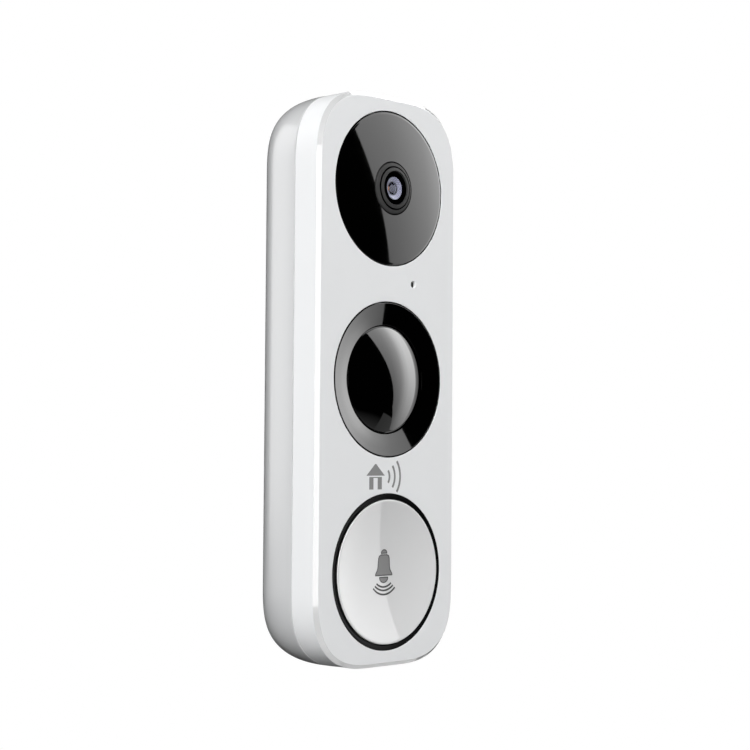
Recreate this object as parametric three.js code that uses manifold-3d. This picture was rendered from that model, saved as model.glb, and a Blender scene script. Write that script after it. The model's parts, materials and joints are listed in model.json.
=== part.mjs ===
// A slim wall-mounted video doorbell: a chamfered faceplate over a front chassis, a rounded rear housing that
// hangs on a wall bracket, and the camera, motion sensor, button, speaker and boards inside.
// Millimetres, +Z up. The origin is on the bracket's back face, where it meets the wall, at the body's
// mid-height. The doorbell faces -Y, and the wall is the plane y = 0.
import * as THREE from "three";
import { RoundedBoxGeometry } from "three/addons/geometries/RoundedBoxGeometry.js";
import { mergeVertices } from "three/addons/utils/BufferGeometryUtils.js";
import Module from "manifold-3d";

const wasm = await Module();
wasm.setup();

// ---- Driving dimensions ----
const WIDTH = 46.2; // overall, across the side band
const HEIGHT = 131.0;
const FACE_Y = -23.0; // the flat front face
const BAND_DEPTH = 7.66; // from the face back to the seam
const CHAMFER = 0.92; // 45 degrees, round the front edge
const CORNER_EXTENT = 18.35; // how far each superelliptic corner reaches along the sides
const CORNER_POWER = 2.74;
const GAP = 0.3; // running and assembly clearance
const PITCH = 44.0; // between the centres of the three round features
const OPENING_R = 17.8; // the three round openings in the face
const BACK_Y = -0.6; // the rear housing's back rim

const REAR_INSET = 11.7; // the rear housing's rounding is a quarter superellipse: this far in,
const REAR_REACH = 15.4; // over this depth,
const REAR_POWER = 2.75; // to this power

const CORNER_STEPS = 10; // outline segments per corner
const ROUND = 48; // segments round a large disc
const SMALL_ROUND = 24; // and round a small one

// ---- Places worked out from them ----
const SEAM_Y = FACE_Y + BAND_DEPTH;
const PLATE_WALL = 1.5; // faceplate
const PLATE_INSIDE_Y = FACE_Y + PLATE_WALL;
const CHASSIS_FRONT_Y = PLATE_INSIDE_Y + 0.9;
const CHASSIS_BACK_Y = CHASSIS_FRONT_Y + 1.4;
const CHASSIS_INSET = 2.1; // the chassis sits this far inside the outer outline
const CHASSIS_END_Y = SEAM_Y + 3.0; // back edge of the chassis's skirt
const LEDGE_Y = CHASSIS_END_Y + 0.9; // ledge in the rear housing that carries the seal
const CAMERA_Z = PITCH;
const BUTTON_Z = -PITCH;
const FLANGE_Y = [PLATE_INSIDE_Y + GAP, CHASSIS_FRONT_Y - GAP]; // flanges trapped behind the faceplate
const FLANGE_R = 18.9;
const BOARD_Y = [-8.7, -7.5]; // main board, front and back
const POCKET = { x: 14.3, z: 56.5, y: -4.6, corner: 6, wall: 1.5, floor: 1.4 };
const TRAVEL = { unit: 7.0, button: 0.6, reset: 0.4, faceplate: 12.0, filter: 5.6, screw: 3.0 };

// ---- Colours ----
const finish = (color, roughness = 0.6, metalness = 0) =>
  new THREE.MeshStandardMaterial({ color, roughness, metalness });
const LOOK = {
  shell: finish(0xdddedf, 0.45),
  rear: finish(0xd6d8da, 0.5),
  darkPlastic: finish(0x1b1c1e, 0.35),
  inner: finish(0x3a3c40, 0.6),
  glass: finish(0x050506, 0.08),
  lens: finish(0x1c2430, 0.05),
  pirLens: finish(0x0b0b0c, 0.18),
  cap: finish(0xd9dbdd, 0.3),
  rubber: finish(0x222222, 0.9),
  board: finish(0x1f5a3a, 0.6),
  chip: finish(0x141414, 0.5),
  tin: finish(0xb9bcc0, 0.35, 1),
  brass: finish(0xc9a45a, 0.35, 1),
  steel: finish(0x9a9da1, 0.35, 1),
  flex: finish(0xb06a24, 0.5),
};

// ---- Solids: three.js geometry joined and cut with manifold-3d ----
function solid(geometry) {
  const bare = geometry.index ? geometry.toNonIndexed() : geometry.clone();
  for (const name of Object.keys(bare.attributes)) if (name !== "position") bare.deleteAttribute(name);
  const merged = mergeVertices(bare, 1e-4);
  const mesh = new wasm.Mesh({
    numProp: 3,
    vertProperties: merged.attributes.position.array,
    triVerts: new Uint32Array(merged.index.array),
  });
  mesh.merge();
  return new wasm.Manifold(mesh);
}

function geometryOf(manifold) {
  const { vertProperties, triVerts, numProp } = manifold.getMesh();
  const positions = new Float32Array((vertProperties.length / numProp) * 3);
  for (let i = 0; i < positions.length / 3; i++)
    positions.set(vertProperties.subarray(i * numProp, i * numProp + 3), i * 3);
  const geometry = new THREE.BufferGeometry();
  geometry.setAttribute("position", new THREE.BufferAttribute(positions, 3));
  geometry.setIndex(new THREE.BufferAttribute(new Uint32Array(triVerts), 1));
  geometry.computeVertexNormals();
  return geometry;
}

// A box from its low and high corners.
function box([x0, y0, z0], [x1, y1, z1]) {
  const geometry = new THREE.BoxGeometry(x1 - x0, y1 - y0, z1 - z0);
  return solid(geometry.translate((x0 + x1) / 2, (y0 + y1) / 2, (z0 + z1) / 2));
}

// A box with rounded edges, for moulded blocks and cans.
function roundedBox([x0, y0, z0], [x1, y1, z1], radius) {
  const geometry = new RoundedBoxGeometry(x1 - x0, y1 - y0, z1 - z0, 1, radius);
  return solid(geometry.translate((x0 + x1) / 2, (y0 + y1) / 2, (z0 + z1) / 2));
}

// A turned solid with its axis along Y through (x, z). The profile's points are [radius, y], and they run
// round the section with increasing y on the outside.
function turned(profile, [x, z] = [0, 0], segments = SMALL_ROUND) {
  const points = profile.map(([r, y]) => new THREE.Vector2(r, y));
  const closed = profile[0][0] > 0 ? [...points, points[0].clone()] : points;
  return solid(new THREE.LatheGeometry(closed, segments).translate(x, 0, z));
}

const disc = (radius, y0, y1, at, segments) =>
  turned([[0, y0], [radius, y0], [radius, y1], [0, y1]], at, segments);
const ring = (inner, outer, y0, y1, at, segments) =>
  turned([[inner, y0], [outer, y0], [outer, y1], [inner, y1]], at, segments);

// A rod along Z, such as the security screw.
function uprightRod(radius, z0, z1, [x, y], segments = SMALL_ROUND) {
  const geometry = new THREE.CylinderGeometry(radius, radius, z1 - z0, segments);
  return solid(geometry.rotateX(Math.PI / 2).translate(x, y, (z0 + z1) / 2));
}

const join = (...solids) => solids.reduce((a, b) => a.add(b));
const cut = (body, ...tools) => tools.reduce((a, b) => a.subtract(b), body);

// Points on a shallow spherical cap from the radius r0 to r1, for a disc of the radius rim whose edge is at
// rimY and whose centre stands sagitta proud of it (towards -Y), or hollow where sagitta is negative.
function capPoints(rim, rimY, sagitta, r0, r1, steps) {
  const sphere = (rim * rim + sagitta * sagitta) / (2 * Math.abs(sagitta));
  const rise = (r) => Math.sqrt(sphere * sphere - r * r) - (sphere - Math.abs(sagitta));
  return Array.from({ length: steps + 1 }, (_, i) => {
    const r = r0 + ((r1 - r0) * i) / steps;
    return [r, rimY - Math.sign(sagitta) * rise(r)];
  });
}

// ---- The outline and what follows it ----
// The rounded rectangle of the body, moved in by inset along its own normals. Returns [x, z] points,
// anticlockwise seen from the front.
function outline(inset = 0, width = WIDTH, height = HEIGHT, extent = CORNER_EXTENT) {
  const quarter = Array.from({ length: CORNER_STEPS + 1 }, (_, i) => {
    const angle = (i / CORNER_STEPS) * (Math.PI / 2);
    const [c, s] = [Math.cos(angle), Math.sin(angle)].map((v) => Math.max(v, 0) ** (2 / CORNER_POWER));
    const normal = new THREE.Vector2(c ** (CORNER_POWER - 1), s ** (CORNER_POWER - 1)).normalize();
    return [
      width / 2 - extent + extent * c - inset * normal.x,
      height / 2 - extent + extent * s - inset * normal.y,
    ];
  });
  const back = [...quarter].reverse();
  return [
    ...quarter,
    ...back.map(([x, z]) => [-x, z]),
    ...quarter.map(([x, z]) => [-x, -z]),
    ...back.map(([x, z]) => [x, -z]),
  ];
}

// A solid through rows of matching outlines: each row is { y, points }, front to back.
function lofted(rows) {
  const count = rows[0].points.length;
  const positions = rows.flatMap(({ y, points }) => points.flatMap(([x, z]) => [x, y, z]));
  const index = [];
  const at = (row, i) => row * count + (i % count);
  for (let row = 0; row + 1 < rows.length; row++)
    for (let i = 0; i < count; i++) {
      const [a, b, c, d] = [at(row, i), at(row, i + 1), at(row + 1, i), at(row + 1, i + 1)];
      index.push(a, b, c, b, d, c);
    }
  const cap = (row) => {
    const contour = rows[row].points.map(([x, z]) => new THREE.Vector2(x, z));
    return THREE.ShapeUtils.triangulateShape(contour, []).map((face) => face.map((i) => at(row, i)));
  };
  for (const [a, b, c] of cap(0)) index.push(a, c, b);
  for (const [a, b, c] of cap(rows.length - 1)) index.push(a, b, c);
  const geometry = new THREE.BufferGeometry();
  geometry.setAttribute("position", new THREE.Float32BufferAttribute(positions, 3));
  geometry.setIndex(index);
  const made = solid(geometry);
  return made.volume() < 0 ? solid(turnedInsideOut(geometry)) : made;
}

function turnedInsideOut(geometry) {
  const index = geometry.index.array;
  for (let i = 0; i < index.length; i += 3) [index[i + 1], index[i + 2]] = [index[i + 2], index[i + 1]];
  return geometry;
}

const slab = (inset, y0, y1) =>
  lofted([
    { y: y0, points: outline(inset) },
    { y: y1, points: outline(inset) },
  ]);

// A slab with plain round corners, centred on (0, z).
function plate(halfX, halfZ, corner, y0, y1, z = 0, bevelSteps = 5) {
  const points = [];
  for (const [sx, sz, start] of [[1, 1, 0], [-1, 1, 1], [-1, -1, 2], [1, -1, 3]])
    for (let i = 0; i <= bevelSteps; i++) {
      const angle = (start + i / bevelSteps) * (Math.PI / 2);
      points.push([
        sx * (halfX - corner) + corner * Math.cos(angle),
        z + sz * (halfZ - corner) + corner * Math.sin(angle),
      ]);
    }
  return lofted([
    { y: y0, points },
    { y: y1, points },
  ]);
}

// How far the rear housing's skin has come in from the band at a depth behind the seam.
const rearInset = (depth) => REAR_INSET * (1 - (1 - (depth / REAR_REACH) ** REAR_POWER) ** (1 / REAR_POWER));

const group = new THREE.Group();
function piece(name, look, body) {
  const mesh = new THREE.Mesh(geometryOf(body), look);
  mesh.name = name;
  group.add(mesh);
}

// ---- Faceplate: face, chamfer and side band in one moulding, with its openings ----
const MIC = [8.16, 22.4];
const MIC_HOLE_R = 0.84;
const SPEAKER_SLOT = { x: 12.6, front: FACE_Y + 1.7, back: FACE_Y + 6.0 }; // through the bottom of the band
const GRILLE_THICK = 0.8;

function faceplate() {
  const backY = SEAM_Y - GAP / 2;
  const outside = lofted([
    { y: FACE_Y, points: outline(CHAMFER) },
    { y: FACE_Y + CHAMFER, points: outline(0) },
    { y: backY, points: outline(0) },
  ]);
  const inside = slab(PLATE_WALL, PLATE_INSIDE_Y, backY + 1);
  const holes = [CAMERA_Z, 0, BUTTON_Z].map((z) =>
    disc(OPENING_R, FACE_Y - 1, PLATE_INSIDE_Y + 1, [0, z], ROUND),
  );
  const micHole = disc(MIC_HOLE_R, FACE_Y - 1, PLATE_INSIDE_Y + 1, MIC, 20);
  const { x, front, back } = SPEAKER_SLOT;
  const slot = box([-x, front, -HEIGHT / 2 - 1], [x, back, -HEIGHT / 2 + PLATE_WALL + 1]);
  piece("faceplate", LOOK.shell, cut(outside, inside, ...holes, micHole, slot));
  const sill = -HEIGHT / 2 + 1.0;
  const bar = box([-x + GAP, front + GAP, sill], [x - GAP, back - GAP, sill + GRILLE_THICK]);
  const vents = Array.from({ length: 7 }, (_, i) => {
    const ventX = (i - 3) * 3.2;
    return box([ventX - 1.0, front + 1.0, sill - 1], [ventX + 1.0, back - 1.0, sill + 3]);
  });
  piece("speaker_grille", LOOK.darkPlastic, cut(bar, ...vents));
}

// ---- Front chassis: carries everything that shows through the faceplate ----
const LENS_HOLE_R = 6.9;
const PIR_THROAT_R = 12.6;
const CAP_WELL_R = 15.5;
const GUIDE_R = 13.9; // bore that guides the button's skirt
const RESET = [-10, 22.0];
const IR_RING_R = 12.3;
const IR_ANGLES = [45, 135, 225, 315];
const LIGHT_SENSOR = [0, CAMERA_Z - 12.3];
const SCREW_PLACES = [[17.2, 22], [-17.2, 22], [17.2, -22], [-17.2, -22]];
const PILLAR_R = 2.8;

const irPlaces = IR_ANGLES.map((degrees) => {
  const angle = THREE.MathUtils.degToRad(degrees);
  return [IR_RING_R * Math.cos(angle), CAMERA_Z + IR_RING_R * Math.sin(angle)];
});

function frontChassis() {
  const shell = cut(
    slab(CHASSIS_INSET, CHASSIS_FRONT_Y, CHASSIS_END_Y),
    slab(CHASSIS_INSET + 1.3, CHASSIS_BACK_Y, CHASSIS_END_Y + 1),
  );
  const guideY = [CHASSIS_BACK_Y - 0.1, CHASSIS_BACK_Y + 2.2];
  const buttonGuide = disc(CAP_WELL_R + 1.2, ...guideY, [0, BUTTON_Z], ROUND);
  const pillars = SCREW_PLACES.map((at) => disc(PILLAR_R, CHASSIS_BACK_Y - 0.1, CHASSIS_END_Y, at));
  const screwHoles = SCREW_PLACES.flatMap((at) => [
    disc(1.3, CHASSIS_FRONT_Y - 1, CHASSIS_END_Y + 1, at, 20),
    disc(2.0, CHASSIS_FRONT_Y - 1, CHASSIS_FRONT_Y + 1.3, at, 20),
  ]);
  const front = CHASSIS_FRONT_Y - 1;
  piece(
    "front_chassis",
    LOOK.inner,
    cut(
      join(shell, buttonGuide, ...pillars),
      ...screwHoles,
      disc(LENS_HOLE_R, front, CHASSIS_BACK_Y + 1, [0, CAMERA_Z], 40),
      disc(PIR_THROAT_R, front, CHASSIS_BACK_Y + 1, [0, 0], ROUND),
      disc(CAP_WELL_R, front, CHASSIS_BACK_Y, [0, BUTTON_Z], ROUND),
      disc(GUIDE_R, front, CHASSIS_BACK_Y + 3, [0, BUTTON_Z], ROUND),
      disc(1.0, front, CHASSIS_BACK_Y + 1, MIC, 16),
      disc(1.8, front, CHASSIS_BACK_Y + 1, RESET, 20),
      ...[...irPlaces, LIGHT_SENSOR].map((at) => disc(1.8, front, CHASSIS_BACK_Y + 1, at, 20)),
    ),
  );
  SCREW_PLACES.forEach((at, i) => {
    const head = CHASSIS_FRONT_Y + 0.1;
    const screw = turned(
      [[0, head], [1.7, head], [1.7, head + 0.9], [0.95, head + 0.9], [0.95, -9.4], [0, -9.4]], at, 16,
    );
    const drive = box([at[0] - 1.1, head - 1, at[1] - 0.2], [at[0] + 1.1, head + 0.4, at[1] + 0.2]);
    const across = box([at[0] - 0.2, head - 1, at[1] - 1.1], [at[0] + 0.2, head + 0.4, at[1] + 1.1]);
    piece(`housing_screw_${i + 1}`, LOOK.steel, cut(screw, drive, across));
  });
}

// ---- Rear housing: the rounded shell, its bracket pocket and the lips that hang on the bracket ----
const EAR_Z = [-33, 33]; // where the bracket's ears and the housing's lips meet
const EAR_HALF = 3;
const SECURITY_Y = -3.3; // axis of the security screw

function rearHousing() {
  const frontY = SEAM_Y + GAP / 2;
  const rearRows = (extra, from, to, steps) =>
    Array.from({ length: steps + 1 }, (_, i) => {
      const y = from + (to - from) * Math.sin((i / steps) * (Math.PI / 2));
      return { y, points: outline(extra + rearInset(Math.max(y - SEAM_Y, 0))) };
    });
  const outside = lofted(rearRows(0, frontY, BACK_Y, 8));
  const inside = lofted(rearRows(3.4, frontY - 1, BACK_Y - 2.2, 4));
  const recess = slab(1.8, frontY - 1, LEDGE_Y);
  const { x, z, y, corner, wall, floor } = POCKET;
  const pocketBlock = plate(x + wall, z + wall, corner + wall, y - floor, BACK_Y);
  const pocket = plate(x, z, corner, y, BACK_Y + 1);
  const lips = EAR_Z.flatMap((at) =>
    [1, -1].map((side) =>
      box(
        [side > 0 ? x - 1.9 : -x - 0.5, BACK_Y - 1.5, at - EAR_HALF],
        [side > 0 ? x + 0.5 : -x + 1.9, BACK_Y, at + EAR_HALF],
      ),
    ),
  );
  const bosses = SCREW_PLACES.map((at) => disc(PILLAR_R, CHASSIS_END_Y + GAP, -4.0, at));
  const bossHoles = SCREW_PLACES.map((at) => disc(1.25, CHASSIS_END_Y - 1, -9.0, at, 16));
  const securityHoles = [
    uprightRod(1.4, -HEIGHT / 2, -z + 1, [0, SECURITY_Y], 20),
    uprightRod(2.2, -HEIGHT / 2 - 1, -58.0, [0, SECURITY_Y], 24),
  ];
  const securityBlock = box([-4, BOARD_Y[1] + GAP, -HEIGHT / 2], [4, BACK_Y, -z]).intersect(outside);
  const terminalHoles = TERMINALS.map((at) => disc(2.0, y - floor - 1, y + 1, at, 20));
  piece(
    "rear_housing",
    LOOK.rear,
    cut(
      join(
        cut(outside, inside, recess), pocketBlock, securityBlock,
        ...bosses.map((boss) => boss.intersect(outside)),
      ),
      pocket,
      ...bossHoles,
      ...securityHoles,
      ...terminalHoles,
    ).add(lips.reduce((a, b) => a.add(b))),
  );
  const seal = cut(slab(2.2, CHASSIS_END_Y + GAP, LEDGE_Y - GAP), slab(2.9, CHASSIS_END_Y, LEDGE_Y));
  piece("housing_seal", LOOK.rubber, seal);
}

// ---- Wall bracket: a plate with screw slots, a wiring window, four ears and a notched bottom lip ----
const BRACKET = { x: 12.0, top: POCKET.z - GAP, bottom: -POCKET.z + TRAVEL.unit + GAP, thick: 2.0 };

function wallBracket() {
  const { x, top, bottom, thick } = BRACKET;
  const middle = (top + bottom) / 2;
  const body = plate(x, (top - bottom) / 2, 4, -thick, 0, middle);
  const ears = EAR_Z.flatMap((at) =>
    [1, -1].flatMap((side) => {
      const [inner, outer] = [x - 1.6, x + 1.9].map((v) => v * side).sort((a, b) => a - b);
      const [root, foot] = [x - 1.6, x].map((v) => v * side).sort((a, b) => a - b);
      return [
        box([inner, -4.2, at - EAR_HALF], [outer, -2.5, at + EAR_HALF]),
        box([root, -4.0, at - EAR_HALF], [foot, -1.0, at + EAR_HALF]),
      ];
    }),
  );
  const lip = box([-4, -4.2, bottom], [4, -1.0, bottom + 1.6]);
  const notch = box([-1.4, -5, bottom - 1], [1.4, SECURITY_Y + 1.3, bottom + 3]);
  const ribs = [-1, 1].map((side) => box([side * 7 - 0.6, -3.2, 8], [side * 7 + 0.6, -1.0, 30]));
  const slot = (z, halfLength) =>
    join(
      box([-2.3, -thick - 1, z - halfLength], [2.3, 1, z + halfLength]),
      disc(2.3, -thick - 1, 1, [0, z - halfLength], 24),
      disc(2.3, -thick - 1, 1, [0, z + halfLength], 24),
    );
  const window = plate(9, 13, 3, -thick - 1, 1, WIRING_Z);
  piece(
    "wall_bracket",
    LOOK.inner,
    cut(join(body, ...ears, lip, ...ribs), slot(46, 3), slot(-41.5, 0.8), window, notch),
  );
}

// ---- Security screw: from below, up into the bracket's notch ----
function securityScrew() {
  const headZ = -60.2;
  const rod = join(
    uprightRod(1.8, headZ, headZ + 1.9, [0, SECURITY_Y], 24),
    uprightRod(1.0, headZ + 1.8, BRACKET.bottom + 1.8, [0, SECURITY_Y], 20),
  );
  const socket = uprightRod(0.9, headZ - 1, headZ + 1.1, [0, SECURITY_Y], 6);
  piece("security_screw", LOOK.steel, rod.subtract(socket));
}

// ---- Terminals for the doorbell wires, reached through the bracket's window ----
const WIRING_Z = -20; // centre of the bracket's window
const TERMINALS = [[-5.2, -26], [5.2, -26]];

function terminals() {
  TERMINALS.forEach((at, i) => {
    const side = ["left", "right"][i];
    const headY = POCKET.y + GAP;
    const screw = turned(
      [[0, -7.0], [1.4, -7.0], [1.4, headY], [3.2, headY], [3.2, headY + 1.5], [0, headY + 1.5]], at, 24,
    );
    const [x, z] = at;
    const slotCut = box([x - 4, headY + 0.8, z - 0.45], [x + 4, headY + 3, z + 0.45]);
    piece(`terminal_screw_${side}`, LOOK.brass, screw.subtract(slotCut));
    const half = 3.6;
    const block = roundedBox([x - half, -7.2, z - half], [x + half, -6.3, z + half], 0.3);
    piece(`terminal_plate_${side}`, LOOK.brass, block.subtract(disc(1.7, -8, -5, at, 20)));
  });
}

// ---- Camera: window, collar, lens stack, filter and sensor ----
const WINDOW_HOLE_R = 6.2;
const COLLAR_R = WINDOW_HOLE_R - GAP;

function camera() {
  const at = [0, CAMERA_Z];
  const rim = OPENING_R - GAP;
  const sagitta = 1.15;
  const front = capPoints(rim, FACE_Y, sagitta, WINDOW_HOLE_R, rim, 5);
  const backY = PLATE_INSIDE_Y + GAP;
  piece(
    "camera_window",
    LOOK.glass,
    turned(
      [
        ...front, [rim, FLANGE_Y[0]], [FLANGE_R, FLANGE_Y[0]], [FLANGE_R, FLANGE_Y[1]],
        [WINDOW_HOLE_R, FLANGE_Y[1]],
      ],
      at, ROUND,
    ).subtract(ring(8, 15.6, backY - 1.2, FLANGE_Y[1] + 1, at, ROUND)),
  );
  piece("window_seal", LOOK.rubber, ring(15.9, 18.6, FLANGE_Y[1] + 0.05, CHASSIS_FRONT_Y - 0.05, at, ROUND));
  const collarBase = FACE_Y - 1.02;
  const collarTop = FACE_Y - 1.95;
  piece(
    "lens_collar",
    LOOK.darkPlastic,
    turned(
      [
        [3.9, collarTop + 0.1], [4.0, collarTop], [4.9, collarTop + 0.36], [5.1, collarTop + 0.62],
        [5.35, collarTop + 0.66], [5.5, collarTop + 0.66], [COLLAR_R, collarBase],
        [COLLAR_R, CHASSIS_FRONT_Y], [6.6, CHASSIS_FRONT_Y], [6.6, CHASSIS_BACK_Y], [3.9, CHASSIS_BACK_Y],
      ],
      at, 48,
    ),
  );
  const barrelFront = FACE_Y - 1.7;
  piece(
    "lens_barrel",
    LOOK.darkPlastic,
    turned(
      [
        [2.95, barrelFront], [3.6, barrelFront], [3.6, -17.0], [5.2, -17.0], [5.2, -15.2], [2.3, -15.2],
        [2.3, barrelFront + 2.4], [2.95, barrelFront + 2.4],
      ],
      at, 40,
    ),
  );
  const glassR = 2.65;
  piece(
    "front_lens",
    LOOK.lens,
    turned(
      [
        ...capPoints(glassR, barrelFront + 0.25, 0.45, 0, glassR, 5), [glassR, barrelFront + 1.0],
        [0, barrelFront + 0.7],
      ],
      at, 32,
    ),
  );
  piece("rear_lens", LOOK.lens, disc(2.0, -21.6, -18.2, at, 24));
  const [holderFront, holderBack] = [-14.9, -11.2];
  const holder = roundedBox([-5.5, holderFront, CAMERA_Z - 5.5], [5.5, holderBack, CAMERA_Z + 5.5], 0.5);
  const bore = disc(2.6, holderFront - 1, holderBack + 1, at, 24);
  const filterY = [-13.6, -12.7];
  const filterSlot = box([-7, filterY[0] - GAP, CAMERA_Z - 3.3], [7, filterY[1] + GAP, CAMERA_Z + 3.3]);
  piece("lens_holder", LOOK.chip, cut(holder, bore, filterSlot));
  const carriage = box([-3.1, filterY[0], CAMERA_Z - 2.9], [8.6, filterY[1], CAMERA_Z + 2.9]);
  const clearPort = disc(2.3, filterY[0] - 1, filterY[1] + 1, [TRAVEL.filter, CAMERA_Z], 20);
  piece("ir_cut_filter", LOOK.lens, carriage.subtract(clearPort));
  piece(
    "ir_cut_coil",
    LOOK.flex,
    cut(
      roundedBox([11.2, holderFront, CAMERA_Z - 3], [15.2, holderBack, CAMERA_Z + 3], 0.6),
      disc(1.0, holderFront - 1, holderBack + 1, [13.2, CAMERA_Z], 16),
    ),
  );
  const sensorY = [holderBack + GAP, holderBack + 1.0];
  piece("image_sensor", LOOK.chip, box([-2.2, sensorY[0], CAMERA_Z - 2], [2.2, sensorY[1], CAMERA_Z + 2]));
  const sensorBoard = box([-8, -9.9, CAMERA_Z - 7], [15.5, -9.1, CAMERA_Z + 7]);
  piece("sensor_board", LOOK.board, sensorBoard);
  const irBoard = cut(
    disc(16.2, -17.9, -16.9, at, ROUND), disc(7.4, -19, -16, at, 32),
    disc(2.2, -19, -16, [-14, CAMERA_Z - 12], 12),
  );
  piece("ir_led_board", LOOK.board, irBoard);
  irPlaces.forEach((place, i) => {
    const led = turned(
      [[0, -20.9], [0.8, -20.8], [1.3, -20.4], [1.5, -19.9], [1.5, -18.2], [0, -18.2]], place, 16,
    );
    piece(`ir_led_${i + 1}`, LOOK.glass, led);
  });
  piece("light_sensor", LOOK.glass, disc(1.4, -20.7, -18.2, LIGHT_SENSOR, 16));
}

// ---- Motion sensor: a dished bezel round a domed lens, with its sensor behind ----
function motionSensor() {
  const rim = OPENING_R - GAP;
  const dishDepth = 1.2;
  const bend = [15.05, FACE_Y + 0.58];
  piece(
    "pir_bezel",
    LOOK.darkPlastic,
    turned(
      [
        [PIR_THROAT_R, FACE_Y + dishDepth], bend, [rim, FACE_Y], [rim, FLANGE_Y[0]], [FLANGE_R, FLANGE_Y[0]],
        [FLANGE_R, FLANGE_Y[1]], [PIR_THROAT_R, FLANGE_Y[1]],
      ],
      [0, 0], ROUND,
    ),
  );
  const lensR = PIR_THROAT_R - GAP;
  const domeR = 12.0;
  const domeY = FACE_Y + 1.37;
  const domeRise = 2.84;
  const hollowR = 11.0; // the dome's inner face
  const skirtR = 15.4;
  const skirtY = CHASSIS_BACK_Y + GAP;
  const wall = 0.8;
  piece(
    "pir_lens",
    LOOK.pirLens,
    turned(
      [
        ...capPoints(domeR, domeY, domeRise, 0, domeR, 6), [domeR, domeY + 0.3], [lensR, domeY + 0.3],
        [lensR, skirtY], [skirtR, skirtY], [skirtR, skirtY + 1.0], [lensR - wall, skirtY + 1.0],
        [lensR - wall, domeY + 1.1],
        ...capPoints(hollowR, domeY + 1.0, domeRise - 0.24, 0, hollowR, 4).reverse(),
      ],
      [0, 0], ROUND,
    ),
  );
  piece("pir_retainer", LOOK.inner, ring(12.4, 16.0, skirtY + 1.3, skirtY + 2.5, [0, 0], 48));
  const can = turned(
    [[0, -16.2], [4.1, -16.2], [4.1, -12.4], [4.6, -12.4], [4.6, -11.8], [0, -11.8]],
    [0, 0], 32,
  );
  const sensorWindow = box([-2, -17, -1.5], [2, -15.9, 1.5]);
  piece("pir_sensor", LOOK.tin, can.subtract(sensorWindow));
  piece("pir_board", LOOK.board, plate(12, 9, 1.5, -11.5, -10.5));
}

// ---- Button: dished cap, light ring, seal, switch and board ----
function button() {
  const at = [0, BUTTON_Z];
  const capR = 16.6;
  const rimBack = FACE_Y + 1.5;
  const dishR = capR - 0.3;
  const dish = capPoints(dishR, FACE_Y - 0.3, -1.55, 0, dishR, 6);
  const skirt = [12.4, 13.6];
  const skirtY = -17.6;
  const bossR = 3.0;
  const bossY = [-19.9, -18.2];
  const cap = turned(
    [
      ...dish, [capR, FACE_Y], [capR, rimBack], [skirt[1], rimBack], [skirt[1], skirtY],
      [skirt[0], skirtY], [skirt[0], bossY[0]], [bossR, bossY[0]], [bossR, bossY[1]], [0, bossY[1]],
    ],
    at, ROUND,
  );
  piece("button_cap", LOOK.cap, cap);
  const rim = OPENING_R - GAP;
  piece(
    "light_ring",
    LOOK.darkPlastic,
    turned(
      [
        [capR + GAP, FACE_Y + 0.3], [rim, FACE_Y + 0.12], [rim, FLANGE_Y[0]], [FLANGE_R, FLANGE_Y[0]],
        [FLANGE_R, FLANGE_Y[1]], [capR + GAP, FLANGE_Y[1]],
      ],
      at, ROUND,
    ),
  );
  piece("button_seal", LOOK.rubber, ring(13.9, 15.2, CHASSIS_FRONT_Y + 0.1, CHASSIS_BACK_Y - GAP, at, 48));
  piece("switch_plunger", LOOK.darkPlastic, disc(1.6, -17.9, -16.4, at, 20));
  const switchBody = roundedBox([-3, -17.3, BUTTON_Z - 3], [3, -14.8, BUTTON_Z + 3], 0.3);
  piece("button_switch", LOOK.chip, switchBody.subtract(disc(2.0, -18, -15.4, at, 24)));
  const board = cut(disc(16.2, -14.5, -13.5, at, 48), disc(1.6, -16, -12, [11.5, BUTTON_Z + 6], 12));
  piece("button_board", LOOK.board, board);
}

// ---- Sound: microphone behind its hole, speaker at the bottom ----
function sound() {
  piece("mic_gasket", LOOK.rubber, ring(1.1, 2.3, FLANGE_Y[0], FLANGE_Y[1], MIC, 20));
  const [x, z] = MIC;
  const [bodyY, flexY] = [CHASSIS_BACK_Y + GAP, CHASSIS_BACK_Y + 1.8];
  const body = box([x - 2, bodyY, z - 1.5], [x + 2, flexY - GAP, z + 1.5]);
  piece("microphone", LOOK.tin, body.subtract(disc(0.4, bodyY - 1, bodyY + 0.4, MIC, 10)));
  piece("mic_flex", LOOK.flex, box([x - 3, flexY, z - 2.2], [x + 3, flexY + 0.3, z + 2.2]));
  const speakerZ = -52.1;
  const frame = roundedBox([-15, -13.0, speakerZ - 7.5], [15, -9.3, speakerZ + 6.5], 0.8);
  const cone = roundedBox([-12.5, -14, speakerZ - 5.5], [12.5, -12.3, speakerZ + 4.5], 0.4);
  piece("speaker", LOOK.chip, frame.subtract(cone));
}

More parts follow.
